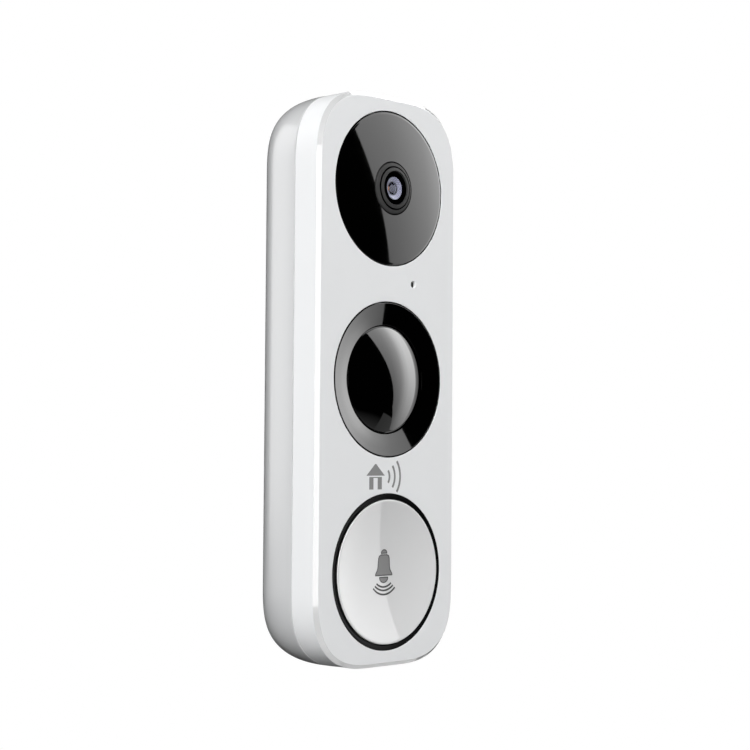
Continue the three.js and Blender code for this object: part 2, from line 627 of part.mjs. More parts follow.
// ---- Boards and what is on them ----
function electronics() {
  const [front, back] = BOARD_Y;
  const board = cut(
    plate(16.6, 59.5, 6, front, back),
    ...SCREW_PLACES.map((at) => disc(PILLAR_R + GAP, front - 1, back + 1, at, 20)),
    ...TERMINALS.map((at) => disc(1.2, front - 1, back + 1, at, 16)),
  );
  piece("main_board", LOOK.board, board);
  const onBoard = (name, look, [x0, z0], [x1, z1], height, radius = 0.3) =>
    piece(name, look, roundedBox([x0, front - GAP - height, z0], [x1, front - GAP, z1], radius));
  onBoard("processor_shield", LOOK.tin, [-12, 14], [7.6, 33], 1.4);
  onBoard("radio_module", LOOK.tin, [-13, -26], [-2, -12.5], 1.8);
  onBoard("power_inductor", LOOK.chip, [3, -24], [10, -17], 4.2, 1.0);
  onBoard("card_socket", LOOK.tin, [8.4, 12], [13.9, 28], 1.4);
  const capacitor = new THREE.CylinderGeometry(2, 2, 9, 20).rotateZ(Math.PI / 2);
  capacitor.translate(-6.5, front - 2.3, -31.5);
  piece("backup_capacitor", LOOK.chip, solid(capacitor));
  piece("antenna", LOOK.flex, box([-14, front - GAP - 0.4, 54], [14, front - GAP, 58]));
  piece("reset_button", LOOK.darkPlastic, disc(1.5, CHASSIS_FRONT_Y - 0.3, -12.2, RESET, 20));
  const [x, z] = RESET;
  piece("reset_switch", LOOK.chip, roundedBox([x - 2, -11.4, z - 2], [x + 2, -10.7, z + 2], 0.2));
  piece("board_connector", LOOK.chip, roundedBox([-4, -13.2, -22.5], [1.5, -11.2, -19.0], 0.2));
}

faceplate();
frontChassis();
rearHousing();
wallBracket();
securityScrew();
terminals();
camera();
motionSensor();
button();
sound();
electronics();

export default group;
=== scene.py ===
"""The looks of a slim wall-mounted video doorbell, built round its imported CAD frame.

Sizes are millimetres in the frame's own axes: +Z up, the doorbell faces -Y, and y = 0 is the wall.
"""
import json
import logging
import math
from dataclasses import dataclass
from enum import Enum
from typing import Callable, Iterable, Sequence, Union

import bmesh
import bpy
from mathutils import Matrix, Vector

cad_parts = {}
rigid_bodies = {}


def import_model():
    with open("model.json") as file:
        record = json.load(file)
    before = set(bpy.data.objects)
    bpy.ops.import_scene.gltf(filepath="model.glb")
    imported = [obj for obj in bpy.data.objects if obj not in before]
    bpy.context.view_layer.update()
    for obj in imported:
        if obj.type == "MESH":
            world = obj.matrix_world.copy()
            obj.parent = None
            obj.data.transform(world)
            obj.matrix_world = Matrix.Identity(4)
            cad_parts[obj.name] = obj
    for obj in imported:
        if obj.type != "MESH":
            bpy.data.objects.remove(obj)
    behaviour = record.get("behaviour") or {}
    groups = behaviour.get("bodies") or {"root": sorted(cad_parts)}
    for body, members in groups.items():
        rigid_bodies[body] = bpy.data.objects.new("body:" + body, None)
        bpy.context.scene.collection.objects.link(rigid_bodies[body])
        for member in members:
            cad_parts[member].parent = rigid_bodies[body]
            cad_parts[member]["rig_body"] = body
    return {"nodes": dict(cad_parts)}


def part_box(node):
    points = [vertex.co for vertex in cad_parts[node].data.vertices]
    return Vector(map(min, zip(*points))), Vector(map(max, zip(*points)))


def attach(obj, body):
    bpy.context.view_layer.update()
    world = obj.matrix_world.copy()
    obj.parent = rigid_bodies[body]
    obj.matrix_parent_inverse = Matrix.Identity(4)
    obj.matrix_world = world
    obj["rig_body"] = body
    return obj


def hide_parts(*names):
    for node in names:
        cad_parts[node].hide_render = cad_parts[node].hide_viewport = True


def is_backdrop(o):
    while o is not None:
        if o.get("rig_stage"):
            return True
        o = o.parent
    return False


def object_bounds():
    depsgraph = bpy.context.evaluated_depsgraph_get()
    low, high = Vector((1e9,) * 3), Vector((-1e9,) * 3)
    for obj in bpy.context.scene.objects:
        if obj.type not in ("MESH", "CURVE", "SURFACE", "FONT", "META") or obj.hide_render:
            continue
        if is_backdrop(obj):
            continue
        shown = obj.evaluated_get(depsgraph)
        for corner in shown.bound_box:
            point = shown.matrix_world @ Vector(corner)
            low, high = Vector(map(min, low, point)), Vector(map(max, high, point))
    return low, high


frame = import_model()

CAD_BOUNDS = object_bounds()
MM = 0.001
MERGE_MM = 1e-5  # vertices closer than this become one
SHARP_DEGREES = 32.0  # edges that turn more than this stay sharp
CUT_MARGIN = 1.0  # how far a cutter runs past the surface that it cuts
LOG = logging.getLogger("doorbell")

Point = tuple[float, float]
Colour = tuple[float, float, float, float]
WHITE: Colour = (1.0, 1.0, 1.0, 1.0)


# ---------------------------------------------------------------- frame sizes
def span(node: str, axis: str) -> Point:
    """How far a CAD node reaches along an axis.

    Args:
        node: the node's name.
        axis: "x", "y" or "z".

    Returns:
        Its lowest and highest millimetre.
    """
    low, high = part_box(node)
    i = "xyz".index(axis)
    return low[i] / MM, high[i] / MM


def centre(node: str) -> Point:
    """The (x, z) centre of a CAD node's box, in millimetres."""
    (x0, x1), (z0, z1) = span(node, "x"), span(node, "z")
    return (x0 + x1) / 2, (z0 + z1) / 2


# ---------------------------------------------------------------- shader maths
class Value:
    """A number that flows between shader nodes. Python operators on it add Math nodes."""

    def __init__(self, graph: "Graph", socket: bpy.types.NodeSocket) -> None:
        """Wraps an output socket of a graph."""
        self.graph = graph
        self.socket = socket

    def _math(self, operation: str, *terms: "Number", clamp: bool = False) -> "Value":
        """Adds one Math node on the terms and returns its result."""
        settings = {"operation": operation, "use_clamp": clamp}
        return self.graph.value("ShaderNodeMath", settings, dict(enumerate(terms)))

    def __add__(self, other: "Number") -> "Value":
        """self + other."""
        return self._math("ADD", self, other)

    def __sub__(self, other: "Number") -> "Value":
        """self - other."""
        return self._math("SUBTRACT", self, other)

    def __rsub__(self, other: "Number") -> "Value":
        """other - self."""
        return self._math("SUBTRACT", other, self)

    def __mul__(self, other: "Number") -> "Value":
        """self * other."""
        return self._math("MULTIPLY", self, other)

    def __truediv__(self, other: "Number") -> "Value":
        """self / other."""
        return self._math("DIVIDE", self, other)

    __radd__ = __add__
    __rmul__ = __mul__

    def band(self, low: float, high: float) -> "Value":
        """0 below low, 1 above high, and a straight ramp between them."""
        return ((self - low) / (high - low)).clamped()

    def clamped(self) -> "Value":
        """The value held between 0 and 1."""
        return self._math("ADD", self, 0.0, clamp=True)


Number = Union[Value, float]


class Graph:
    """The node tree of one material, or of the world."""

    def __init__(self, name: str, world: bpy.types.World | None = None) -> None:
        """Starts an empty tree.

        Args:
            name: the name of the new material.
            world: the world whose tree it is, if it isn't a material's.
        """
        self.owner = world or bpy.data.materials.new(name)
        self.owner.use_nodes = True
        self.tree = self.owner.node_tree
        self.tree.nodes.clear()

    def node(self, kind: str, settings: dict | None = None,
             sockets: dict | None = None) -> bpy.types.Node:
        """Adds one node.

        Args:
            kind: the node's type, such as "ShaderNodeTexNoise".
            settings: its properties, set first; "stops" holds a colour ramp's (place, colour) pairs.
            sockets: input names or numbers with their values or links.

        Returns:
            The new node.
        """
        made = self.tree.nodes.new(kind)
        for name, value in (settings or {}).items():
            if name == "stops":
                self._set_stops(made.color_ramp, value)
            else:
                setattr(made, name, value)
        for name, value in (sockets or {}).items():
            if isinstance(value, Value):
                value = value.socket
            if isinstance(value, bpy.types.NodeSocket):
                self.tree.links.new(value, made.inputs[name])
            else:
                made.inputs[name].default_value = value
        return made

    @staticmethod
    def _set_stops(ramp: bpy.types.ColorRamp, stops: Sequence[tuple[float, Colour]]) -> None:
        """Gives a colour ramp its stops.

        Args:
            ramp: the ramp.
            stops: (place, colour) pairs in rising order.
        """
        while len(ramp.elements) > 1:
            ramp.elements.remove(ramp.elements[-1])
        ramp.elements[0].position, ramp.elements[0].color = stops[0]
        for place, colour in stops[1:]:
            ramp.elements.new(place).color = colour

    def value(self, kind: str, settings: dict | None = None, sockets: dict | None = None,
              output: Union[int, str] = 0) -> Value:
        """Adds a node and returns one of its outputs as a Value."""
        return Value(self, self.node(kind, settings, sockets).outputs[output])

    def place_mm(self) -> bpy.types.NodeSocket:
        """Finds the point on the piece in the frame's axes.

        Returns:
            Its place in millimetres.
        """
        at = self.node("ShaderNodeTexCoord").outputs["Object"]
        scaled = self.node("ShaderNodeVectorMath", {"operation": "SCALE"}, {0: at, "Scale": 1 / MM})
        return scaled.outputs[0]

    def axis_mm(self, axis: str) -> Value:
        """One coordinate of the point on the piece, in millimetres."""
        return self.value("ShaderNodeSeparateXYZ", {}, {0: self.place_mm()}, "XYZ".index(axis.upper()))

    def noise(self, size_mm: float, detail: float = 2.0, roughness: float = 0.5,
              stretch: Sequence[float] = (1.0, 1.0, 1.0)) -> Value:
        """Smooth noise between 0 and 1.

        Args:
            size_mm: how far apart its blotches are.
            detail: how many finer octaves it has.
            roughness: how strong those are.
            stretch: how much longer the blotches are along x, y and z.

        Returns:
            The noise.
        """
        scale = tuple(1 / (size_mm * s) for s in stretch)
        at = self.node("ShaderNodeVectorMath", {"operation": "MULTIPLY"}, {0: self.place_mm(), 1: scale})
        sockets = {"Vector": at.outputs[0], "Scale": 1.0, "Detail": detail, "Roughness": roughness}
        return self.value("ShaderNodeTexNoise", {"noise_dimensions": "3D"}, sockets)

    def mix(self, factor: Number, first: "Tint", second: "Tint") -> bpy.types.NodeSocket:
        """A colour that goes from the first to the second as the factor goes from 0 to 1."""
        sockets = {0: factor, 6: first, 7: second}
        return self.node("ShaderNodeMix", {"data_type": "RGBA"}, sockets).outputs[2]

    def bump(self, height: Value, depth_mm: float, normal: bpy.types.NodeSocket | None = None,
             strength: float = 1.0) -> bpy.types.NodeSocket:
        """A surface normal shaped by a height.

        Args:
            height: the height, where 1 stands depth_mm proud of 0.
            depth_mm: the relief's full depth.
            normal: a normal to build on.
            strength: how much of it shows.

        Returns:
            The new normal.
        """
        sockets = {"Height": height, "Distance": depth_mm * MM, "Strength": strength}
        if normal is not None:
            sockets["Normal"] = normal
        return self.node("ShaderNodeBump", {}, sockets).outputs[0]

    def principled(self, **sockets: object) -> bpy.types.Node:
        """Adds the main shader; underscores in a socket's name stand for spaces."""
        named = {name.replace("_", " "): value for name, value in sockets.items() if value is not None}
        return self.node("ShaderNodeBsdfPrincipled", {}, named)

    def finish(self, shader: bpy.types.Node) -> bpy.types.Material:
        """Joins the last shader to the output and returns the material."""
        self.node("ShaderNodeOutputMaterial", {}, {"Surface": shader.outputs[0]})
        return self.owner


Tint = Union[Colour, Value, bpy.types.NodeSocket]


def grey(level: float, warm: float = 0.0) -> Colour:
    """A linear grey, a little warmer or (below 0) cooler."""
    return level * (1 + warm), level, level * (1 - warm), 1.0


def shaded(colour: Colour, factor: float) -> Colour:
    """A colour made lighter or darker by a factor."""
    return tuple(c * factor for c in colour[:3]) + (colour[3],)


# ---------------------------------------------------------------- finishes
class Finish:
    """A surface finish. Its material is made once and shared."""

    name: str

    def build(self) -> bpy.types.Material:
        """Makes the material."""
        raise NotImplementedError

    def material(self) -> bpy.types.Material:
        """The finish's one material."""
        return bpy.data.materials.get(self.name) or self.build()


@dataclass(frozen=True)
class MouldedPlastic(Finish):
    """Satin injection-moulded plastic with a fine spark-eroded grain under a thin clear coat."""

    name: str
    colour: Colour
    roughness: float = 0.42
    grain_mm: float = 0.16
    grain_depth: float = 0.006
    mottling: float = 0.015
    coat: float = 0.12
    coat_roughness: float = 0.16
    coat_ior: float = 1.5
    specular: float = 0.5

    def build(self) -> bpy.types.Material:
        """Grain in the normal, faint mottling in the colour and a slow drift in the gloss.

        Returns:
            The material.
        """
        g = Graph(self.name)
        grain = g.noise(self.grain_mm, 3.0, 0.6)
        drift = g.noise(9.0, 3.0)
        flow = g.noise(30.0, 1.0, stretch=(1, 1, 3))
        colour = g.mix(drift * 0.6 + flow * 0.4, shaded(self.colour, 1 - self.mottling),
                       shaded(self.colour, 1 + self.mottling))
        rough = drift * 0.06 + grain * 0.05 + (self.roughness - 0.055)
        shader = g.principled(Base_Color=colour, Roughness=rough, Normal=g.bump(grain, self.grain_depth),
                              IOR=1.48, Specular_IOR_Level=self.specular, Coat_Weight=self.coat,
                              Coat_Roughness=self.coat_roughness, Coat_IOR=self.coat_ior)
        return g.finish(shader)


@dataclass(frozen=True)
class GlossPlastic(Finish):
    """Polished plastic or hard-coated window, with a trace of orange peel and faint wipe marks."""

    name: str
    colour: Colour
    roughness: float = 0.03
    peel_depth: float = 0.0006
    wipe: float = 0.02
    ior: float = 1.5
    specular: float = 0.5

    def build(self) -> bpy.types.Material:
        """Orange peel in the normal and wipe marks in the gloss.

        Returns:
            The material.
        """
        g = Graph(self.name)
        wiped = g.noise(3.5, 4.0, 0.65, stretch=(4, 1, 1)).band(0.45, 0.8)
        dust = g.noise(0.12, 0.0).band(0.74, 0.8)
        rough = wiped * self.wipe + dust * 0.05 + self.roughness
        colour = g.mix(dust * 0.25, self.colour, shaded(self.colour, 1.6))
        shader = g.principled(Base_Color=colour, Roughness=rough, IOR=self.ior,
                              Normal=g.bump(g.noise(2.2, 1.0), self.peel_depth),
                              Specular_IOR_Level=self.specular)
        return g.finish(shader)


@dataclass(frozen=True)
class MetalFinish(Finish):
    """Plated, turned or stamped metal with fine scratches."""

    name: str
    colour: Colour
    roughness: float = 0.3
    stretch: tuple[float, float, float] = (1.0, 1.0, 14.0)

    def build(self) -> bpy.types.Material:
        """Scratches in the gloss and normal, and slight tarnish in the colour.

        Returns:
            The material.
        """
        g = Graph(self.name)
        scratches = g.noise(0.05, 3.0, 0.6, self.stretch)
        tarnish = g.noise(2.5, 3.0).band(0.45, 0.75)
        colour = g.mix(tarnish * 0.35, self.colour, shaded(self.colour, 0.72))
        rough = scratches * 0.16 + tarnish * 0.08 + (self.roughness - 0.08)
        shader = g.principled(Base_Color=colour, Roughness=rough, Metallic=1.0,
                              Normal=g.bump(scratches, 0.004))
        return g.finish(shader)


@dataclass(frozen=True)
class RubberFinish(Finish):
    """Moulded silicone rubber."""

    name: str
    colour: Colour

    def build(self) -> bpy.types.Material:
        """A dull skin with a dusting of paler bloom.

        Returns:
            The material.
        """
        g = Graph(self.name)
        bloom = g.noise(1.2, 4.0, 0.6)
        colour = g.mix(bloom * 0.4, self.colour, shaded(self.colour, 1.7))
        shader = g.principled(Base_Color=colour, Roughness=bloom * 0.15 + 0.72,
                              Normal=g.bump(g.noise(0.3, 2.0), 0.01))
        return g.finish(shader)


@dataclass(frozen=True)
class BoardFinish(Finish):
    """Solder mask over copper tracks, with tinned pads."""

    name: str
    mask: Colour
    track_mm: float = 1.3

    def build(self) -> bpy.types.Material:
        """Tracks as raised paler lines on a grid, and pads as small bright dots.

        Returns:
            The material.
        """
        g = Graph(self.name)
        grid = {0: g.place_mm(), "Scale": 1 / self.track_mm}
        at = g.node("ShaderNodeVectorMath", {"operation": "SCALE"}, grid)
        split = g.node("ShaderNodeSeparateXYZ", {}, {0: at.outputs[0]})
        flat = g.node("ShaderNodeCombineXYZ", {}, {0: split.outputs[0], 1: split.outputs[2]}).outputs[0]
        cells = g.value("ShaderNodeTexVoronoi", {"distance": "MANHATTAN", "feature": "DISTANCE_TO_EDGE"},
                        {"Vector": flat, "Scale": 1.0, "Randomness": 0.8})
        pads = g.value("ShaderNodeTexVoronoi", {"distance": "CHEBYCHEV"},
                       {"Vector": flat, "Scale": 1.4, "Randomness": 1.0})
        track = 1 - cells.band(0.05, 0.09)
        pad = 1 - pads.band(0.10, 0.12)
        masked = g.mix(track * 0.6, self.mask, shaded(self.mask, 1.9))
        colour = g.mix(pad, masked, (0.62, 0.60, 0.55, 1.0))
        shader = g.principled(Base_Color=colour, Roughness=g.noise(1.0) * 0.1 + 0.3, Metallic=pad,
                              Normal=g.bump(track + pad, 0.03))
        return g.finish(shader)


@dataclass(frozen=True)
class ChipFinish(Finish):
    """Black moulding compound of chips, connectors and coils."""

    name: str
    colour: Colour

    def build(self) -> bpy.types.Material:
        """A fine matt grain with a little colour variation.

        Returns:
            The material.
        """
        g = Graph(self.name)
        grain = g.noise(0.08, 3.0, 0.7)
        colour = g.mix(grain, shaded(self.colour, 0.8), shaded(self.colour, 1.4))
        shader = g.principled(Base_Color=colour, Roughness=grain * 0.2 + 0.5, Normal=g.bump(grain, 0.006))
        return g.finish(shader)


@dataclass(frozen=True)
class FlexFinish(Finish):
    """Amber polyimide film over copper."""

    name: str
    colour: Colour

    def build(self) -> bpy.types.Material:
        """Copper lines that show through the film.

        Returns:
            The material.
        """
        g = Graph(self.name)
        lines = g.value("ShaderNodeTexWave", {"wave_type": "BANDS", "bands_direction": "X"},
                        {"Vector": g.place_mm(), "Scale": 0.35, "Distortion": 0.0})
        copper = lines.band(0.55, 0.65)
        colour = g.mix(copper * 0.7, self.colour, (0.62, 0.27, 0.12, 1.0))
        shader = g.principled(Base_Color=colour, Roughness=g.noise(1.5) * 0.1 + 0.22,
                              Normal=g.bump(copper, 0.02))
        return g.finish(shader)


@dataclass(frozen=True)
class InkFinish(Finish):
    """Pad-printed ink, a little uneven."""

    name: str
    colour: Colour

    def build(self) -> bpy.types.Material:
        """Faint density changes and a slightly rough skin.

        Returns:
            The material.
        """
        g = Graph(self.name)
        density = g.noise(0.25, 3.0, 0.6)
        colour = g.mix(density, shaded(self.colour, 0.94), shaded(self.colour, 1.06))
        shader = g.principled(Base_Color=colour, Roughness=density * 0.1 + 0.42,
                              Normal=g.bump(density, 0.002))
        return g.finish(shader)


@dataclass(frozen=True)
class LensFinish(Finish):
    """Coated optical glass, clear but for its coating's reflection."""

    name: str
    coating: Colour
    clear: Colour = (0.93, 0.94, 0.97, 1.0)
    reflection: float = 0.006

    def build(self) -> bpy.types.Material:
        """A see-through film mixed with a little of the coating's coloured gloss.

        Returns:
            The material.
        """
        g = Graph(self.name)
        smear = g.noise(0.6, 3.0)
        gloss = g.node("ShaderNodeBsdfGlossy", {}, {"Color": self.coating, "Roughness": smear * 0.02 + 0.01})
        through = g.node("ShaderNodeBsdfTransparent", {}, {"Color": self.clear})
        share = smear * 0.01 + self.reflection
        mixed = g.node("ShaderNodeMixShader", {}, {0: share, 1: through.outputs[0], 2: gloss.outputs[0]})
        return g.finish(mixed)


class Look(Enum):
    """Every finish on the doorbell."""

    SHELL = MouldedPlastic("shell_plastic", grey(0.765, -0.012), specular=0.2)
    CHAMFER = MouldedPlastic("chamfer_polished", grey(0.6, -0.006), roughness=0.3, grain_depth=0.0,
                             mottling=0.006, coat=1.0, coat_roughness=0.02, coat_ior=2.2)
    REAR = MouldedPlastic("rear_shell_plastic", grey(0.56, -0.012), roughness=0.45, coat=1.0,
                          coat_roughness=0.2, coat_ior=1.6)
    CAP = MouldedPlastic("button_plastic", grey(0.68, -0.004), roughness=0.3, grain_depth=0.0015,
                         mottling=0.008, coat=0.9, coat_roughness=0.01, coat_ior=1.62, specular=0.15)
    CHASSIS = MouldedPlastic("chassis_plastic", grey(0.035, -0.02), roughness=0.5, grain_depth=0.012,
                             coat=0.1)
    BRACKET = MouldedPlastic("bracket_plastic", grey(0.06, -0.02), roughness=0.5, grain_depth=0.014,
                             coat=0.1)
    WINDOW = GlossPlastic("window_hardcoat", grey(0.0003))
    BEZEL = GlossPlastic("bezel_gloss_black", grey(0.0003), roughness=0.03)
    MOTION_LENS = GlossPlastic("motion_lens_polymer", grey(0.0003), roughness=0.04, peel_depth=0.0008)
    RING = GlossPlastic("light_ring_smoked", grey(0.0015), roughness=0.25, specular=0.05)
    COLLAR = MouldedPlastic("collar_satin_black", grey(0.046), roughness=0.5, grain_depth=0.004, coat=0.0,
                            specular=0.04)
    BARREL = MouldedPlastic("barrel_matt_black", grey(0.0004), roughness=0.6, grain_depth=0.004, coat=0.0,
                            specular=0.0)
    BAFFLE = MouldedPlastic("lens_baffle", (0.32, 0.315, 0.37, 1.0), roughness=0.3, grain_depth=0.001,
                            coat=0.1)
    PUPIL = GlossPlastic("lens_pupil", (0.17, 0.17, 0.19, 1.0), roughness=0.3, specular=0.1)
    APERTURE = MouldedPlastic("lens_aperture_grey", grey(0.1), roughness=0.4, grain_depth=0.001, coat=0.0,
                              specular=0.1)
    LENS = LensFinish("coated_glass", (0.55, 0.56, 0.78, 1.0))
    INNER_GLASS = GlossPlastic("inner_glass", (0.03, 0.035, 0.05, 1.0), roughness=0.03, ior=1.7)
    # painted reflection: the copper glint at the pupil's left edge, made as a metal
    PAINTED_GLINT = MetalFinish("painted_iris_light", (0.34, 0.15, 0.055, 1.0), roughness=0.35)
    STEEL = MetalFinish("zinc_plated_steel", (0.55, 0.56, 0.57, 1.0))
    TIN = MetalFinish("tinned_steel", (0.66, 0.67, 0.68, 1.0), roughness=0.34, stretch=(10.0, 1.0, 1.0))
    BRASS = MetalFinish("brass", (0.72, 0.50, 0.20, 1.0))
    RUBBER = RubberFinish("silicone_rubber", grey(0.02))
    BOARD = BoardFinish("circuit_board", (0.012, 0.085, 0.035, 1.0))
    CHIP = ChipFinish("moulding_compound", grey(0.012))
    FLEX = FlexFinish("polyimide_flex", (0.45, 0.17, 0.03, 1.0))
    EMITTER = GlossPlastic("infrared_epoxy", (0.012, 0.006, 0.012, 1.0), roughness=0.05)
    INK = InkFinish("grey_ink", grey(0.165))
    INK_EDGE = InkFinish("dark_grey_ink", grey(0.025))
    MESH = ChipFinish("acoustic_mesh", grey(0.006))

    def material(self) -> bpy.types.Material:
        """The look's material."""
        return self.value.material()


class Slot(Enum):
    """The record's material slots."""

    SHELL = "shell"
    REAR = "rear_shell"
    CHASSIS = "chassis"
    BRACKET = "bracket"
    BLACK_GLOSS = "black_gloss"
    WINDOW = "window_glass"
    MOTION_LENS = "pir_lens"
    LENS = "lens_glass"
    CAP = "button_cap"
    RING = "light_ring"
    RUBBER = "rubber_seal"
    BOARD = "circuit_board"
    CHIP = "chip"
    TIN = "tinned_steel"
    STEEL = "screw_steel"
    BRASS = "brass"
    FLEX = "flex_circuit"


class Body(Enum):
    """The frame's bodies that pieces ride on."""

    BRACKET = "bracket"
    UNIT = "unit"
    FACEPLATE = "faceplate"
    BUTTON = "button"
    RESET_BUTTON = "reset_button"
    SECURITY_SCREW = "security_screw"
    IR_FILTER = "ir_filter"


# ---------------------------------------------------------------- mesh tools
def new_object(name: str, mesh: bmesh.types.BMesh, look: Look,
               sharp_degrees: float = SHARP_DEGREES) -> bpy.types.Object:
    """Turns a bmesh in millimetres into a dressed object in metres.

    Args:
        name: the piece's name.
        mesh: the shape, in millimetres; it is freed.
        look: the finish.
        sharp_degrees: edges that turn more than this stay sharp.

    Returns:
        The object, linked into the scene.
    """
    bmesh.ops.remove_doubles(mesh, verts=mesh.verts, dist=MERGE_MM)
    bmesh.ops.recalc_face_normals(mesh, faces=mesh.faces)
    data = bpy.data.meshes.new(name)
    mesh.to_mesh(data)
    mesh.free()
    data.transform(Matrix.Scale(MM, 4))
    made = bpy.data.objects.new(name, data)
    bpy.context.scene.collection.objects.link(made)
    data.materials.append(look.material())
    data.shade_smooth()
    data.set_sharp_from_angle(angle=math.radians(sharp_degrees))
    return made


def add_piece(made: bpy.types.Object, body: Body, slot: Slot, *nodes: str) -> bpy.types.Object:
    """Rides a piece on its body and reports it.

    Args:
        made: the piece.
        body: the body that it rides on.
        slot: its material slot; not used.
        nodes: the CAD nodes that it stands for, if any.

    Returns:
        The piece.
    """
    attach(made, body.value)
    if nodes:
        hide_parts(*nodes)
    LOG.info("%s rides on %s", made.name, body.value)
    return made


def arc(middle: Point, radius: float, start: float, end: float, steps: int) -> list[Point]:
    """Points on an arc, from one angle to another in degrees."""
    angles = [math.radians(start + (end - start) * i / steps) for i in range(steps + 1)]
    return [(middle[0] + radius * math.cos(a), middle[1] + radius * math.sin(a)) for a in angles]


def filleted(points: Sequence[Point], radii: Union[float, Sequence[float]], steps: int = 4,
             closed: bool = True) -> list[Point]:
    """A polyline with its corners rounded.

    Args:
        points: the corners.
        radii: one radius for all of them, or one each; 0 keeps a corner sharp.
        steps: segments per rounded corner.
        closed: whether the last point joins the first.

    Returns:
        The rounded polyline.
    """
    count = len(points)
    sizes = [radii] * count if isinstance(radii, (int, float)) else list(radii)
    result: list[Point] = []
    for i, (corner, radius) in enumerate(zip(points, sizes)):
        if radius <= 0 or (not closed and i in (0, count - 1)):
            result.append(tuple(corner))
            continue
        here = Vector(corner)
        before, after = Vector(points[i - 1]) - here, Vector(points[(i + 1) % count]) - here
        turn = before.angle(after, math.pi)
        if turn > math.pi - 1e-3:
            result.append(tuple(corner))
            continue
        reach = min(radius / math.tan(turn / 2), before.length * 0.48, after.length * 0.48)
        first, last = here + before.normalized() * reach, here + after.normalized() * reach
        for k in range(steps + 1):
            t = k / steps
            result.append(tuple(first * (1 - t) ** 2 + here * 2 * t * (1 - t) + last * t * t))
    return result


def revolve(profile: Sequence[Point], at: Point = (0.0, 0.0), segments: int = 128) -> bmesh.types.BMesh:
    """A closed solid turned about an axis along Y.

    Args:
        profile: [radius, y] points round the section; points on the axis close it there.
        at: the axis's (x, z).
        segments: steps round the axis.

    Returns:
        The mesh, in millimetres.
    """
    mesh = bmesh.new()
    rings = []
    for radius, y in profile:
        if radius < 1e-6:
            rings.append([mesh.verts.new((at[0], y, at[1]))] * segments)
            continue
        rings.append([mesh.verts.new(place) for place in circle(at, radius, y, segments)])
    on_axis = profile[0][0] < 1e-6 and profile[-1][0] < 1e-6
    pairs = zip(rings, rings[1:] if on_axis else rings[1:] + rings[:1])
    for low, high in pairs:
        for k in range(segments):
            n = (k + 1) % segments
            corners = list(dict.fromkeys([low[k], low[n], high[n], high[k]]))
            if len(corners) >= 3:
                mesh.faces.new(corners)
    return mesh


def sunk(section: Sequence[Point], front: float) -> list[Point]:
    """(radius, depth) points as (radius, y) points behind a front at y."""
    return [(radius, front + depth) for radius, depth in section]


def bowl(rim: float, rim_y: float, sagitta: float, start: float, end: float, steps: int) -> list[Point]:
    """Points on a shallow spherical face, as [radius, y].

    Args:
        rim: the face's edge radius.
        rim_y: where that edge is.
        sagitta: how far the centre stands out towards -Y; below 0 it is hollow.
        start: the first point's radius.
        end: the last point's radius.
        steps: segments between them.

    Returns:
        The points.
    """
    sphere = (rim * rim + sagitta * sagitta) / (2 * abs(sagitta))
    flat = sphere - abs(sagitta)
    radii = [start + (end - start) * i / steps for i in range(steps + 1)]
    return [(r, rim_y - math.copysign(math.sqrt(sphere * sphere - r * r) - flat, sagitta)) for r in radii]


def patch(rows: Sequence[Sequence[Vector]]) -> bmesh.types.BMesh:
    """An open skin through rows of matching points.

    Args:
        rows: the points, row by row.

    Returns:
        The mesh.
    """
    mesh = bmesh.new()
    grid = [[mesh.verts.new(place) for place in row] for row in rows]
    for low, high in zip(grid, grid[1:]):
        for i in range(len(low) - 1):
            mesh.faces.new([low[i], low[i + 1], high[i + 1], high[i]])
    return mesh


def loft(rows: Sequence[Sequence[Vector]]) -> bmesh.types.BMesh:
    """A skin through rows of matching closed loops.

    Args:
        rows: the loops' points.

    Returns:
        The mesh, open at its first and last loop.
    """
    mesh = bmesh.new()
    rings = [[mesh.verts.new(place) for place in row] for row in rows]
    count = len(rings[0])
    for low, high in zip(rings, rings[1:]):
        for k in range(count):
            n = (k + 1) % count
            mesh.faces.new([low[k], low[n], high[n], high[k]])
    return mesh


def fill_flat(mesh: bmesh.types.BMesh, loops: Iterable[Sequence[Vector]]) -> None:
    """Adds a flat face.

    Args:
        mesh: the mesh that it is added to.
        loops: the loops that bound it, where the inner ones are holes.
    """
    edges = []
    for loop in loops:
        verts = [mesh.verts.new(p) for p in loop]
        edges += [mesh.edges.new((a, b)) for a, b in zip(verts, verts[1:] + verts[:1])]
    bmesh.ops.triangle_fill(mesh, use_beauty=True, use_dissolve=False, edges=edges)


def circle(at: Point, radius: float, y: float, segments: int) -> list[Vector]:
    """A ring of points round (x, z) at a depth."""
    turn = [2 * math.pi * k / segments for k in range(segments)]
    return [Vector((at[0] + radius * math.cos(a), y, at[1] + radius * math.sin(a))) for a in turn]


def extruded(outline: Sequence[Point], y0: float, y1: float) -> bmesh.types.BMesh:
    """A slab with a flat outline.

    Args:
        outline: its (x, z) points.
        y0: the depth of one face.
        y1: the depth of the other.

    Returns:
        The mesh.
    """
    mesh = bmesh.new()
    rings = [[mesh.verts.new((x, y, z)) for x, z in outline] for y in (y0, y1)]
    count = len(outline)
    for k in range(count):
        n = (k + 1) % count
        mesh.faces.new([rings[0][k], rings[0][n], rings[1][n], rings[1][k]])
    for ring in rings:
        mesh.faces.new(ring)
    bmesh.ops.triangulate(mesh, faces=[f for f in mesh.faces if len(f.verts) > 4])
    return mesh


def merged(*meshes: bmesh.types.BMesh) -> bmesh.types.BMesh:
    """One mesh that holds several.

    Args:
        meshes: the meshes; the first takes in the others, which are freed.

    Returns:
        The first mesh.
    """
    result = meshes[0]
    for other in meshes[1:]:
        data = bpy.data.meshes.new("part")
        other.to_mesh(data)
        other.free()
        result.from_mesh(data)
        bpy.data.meshes.remove(data)
    return result


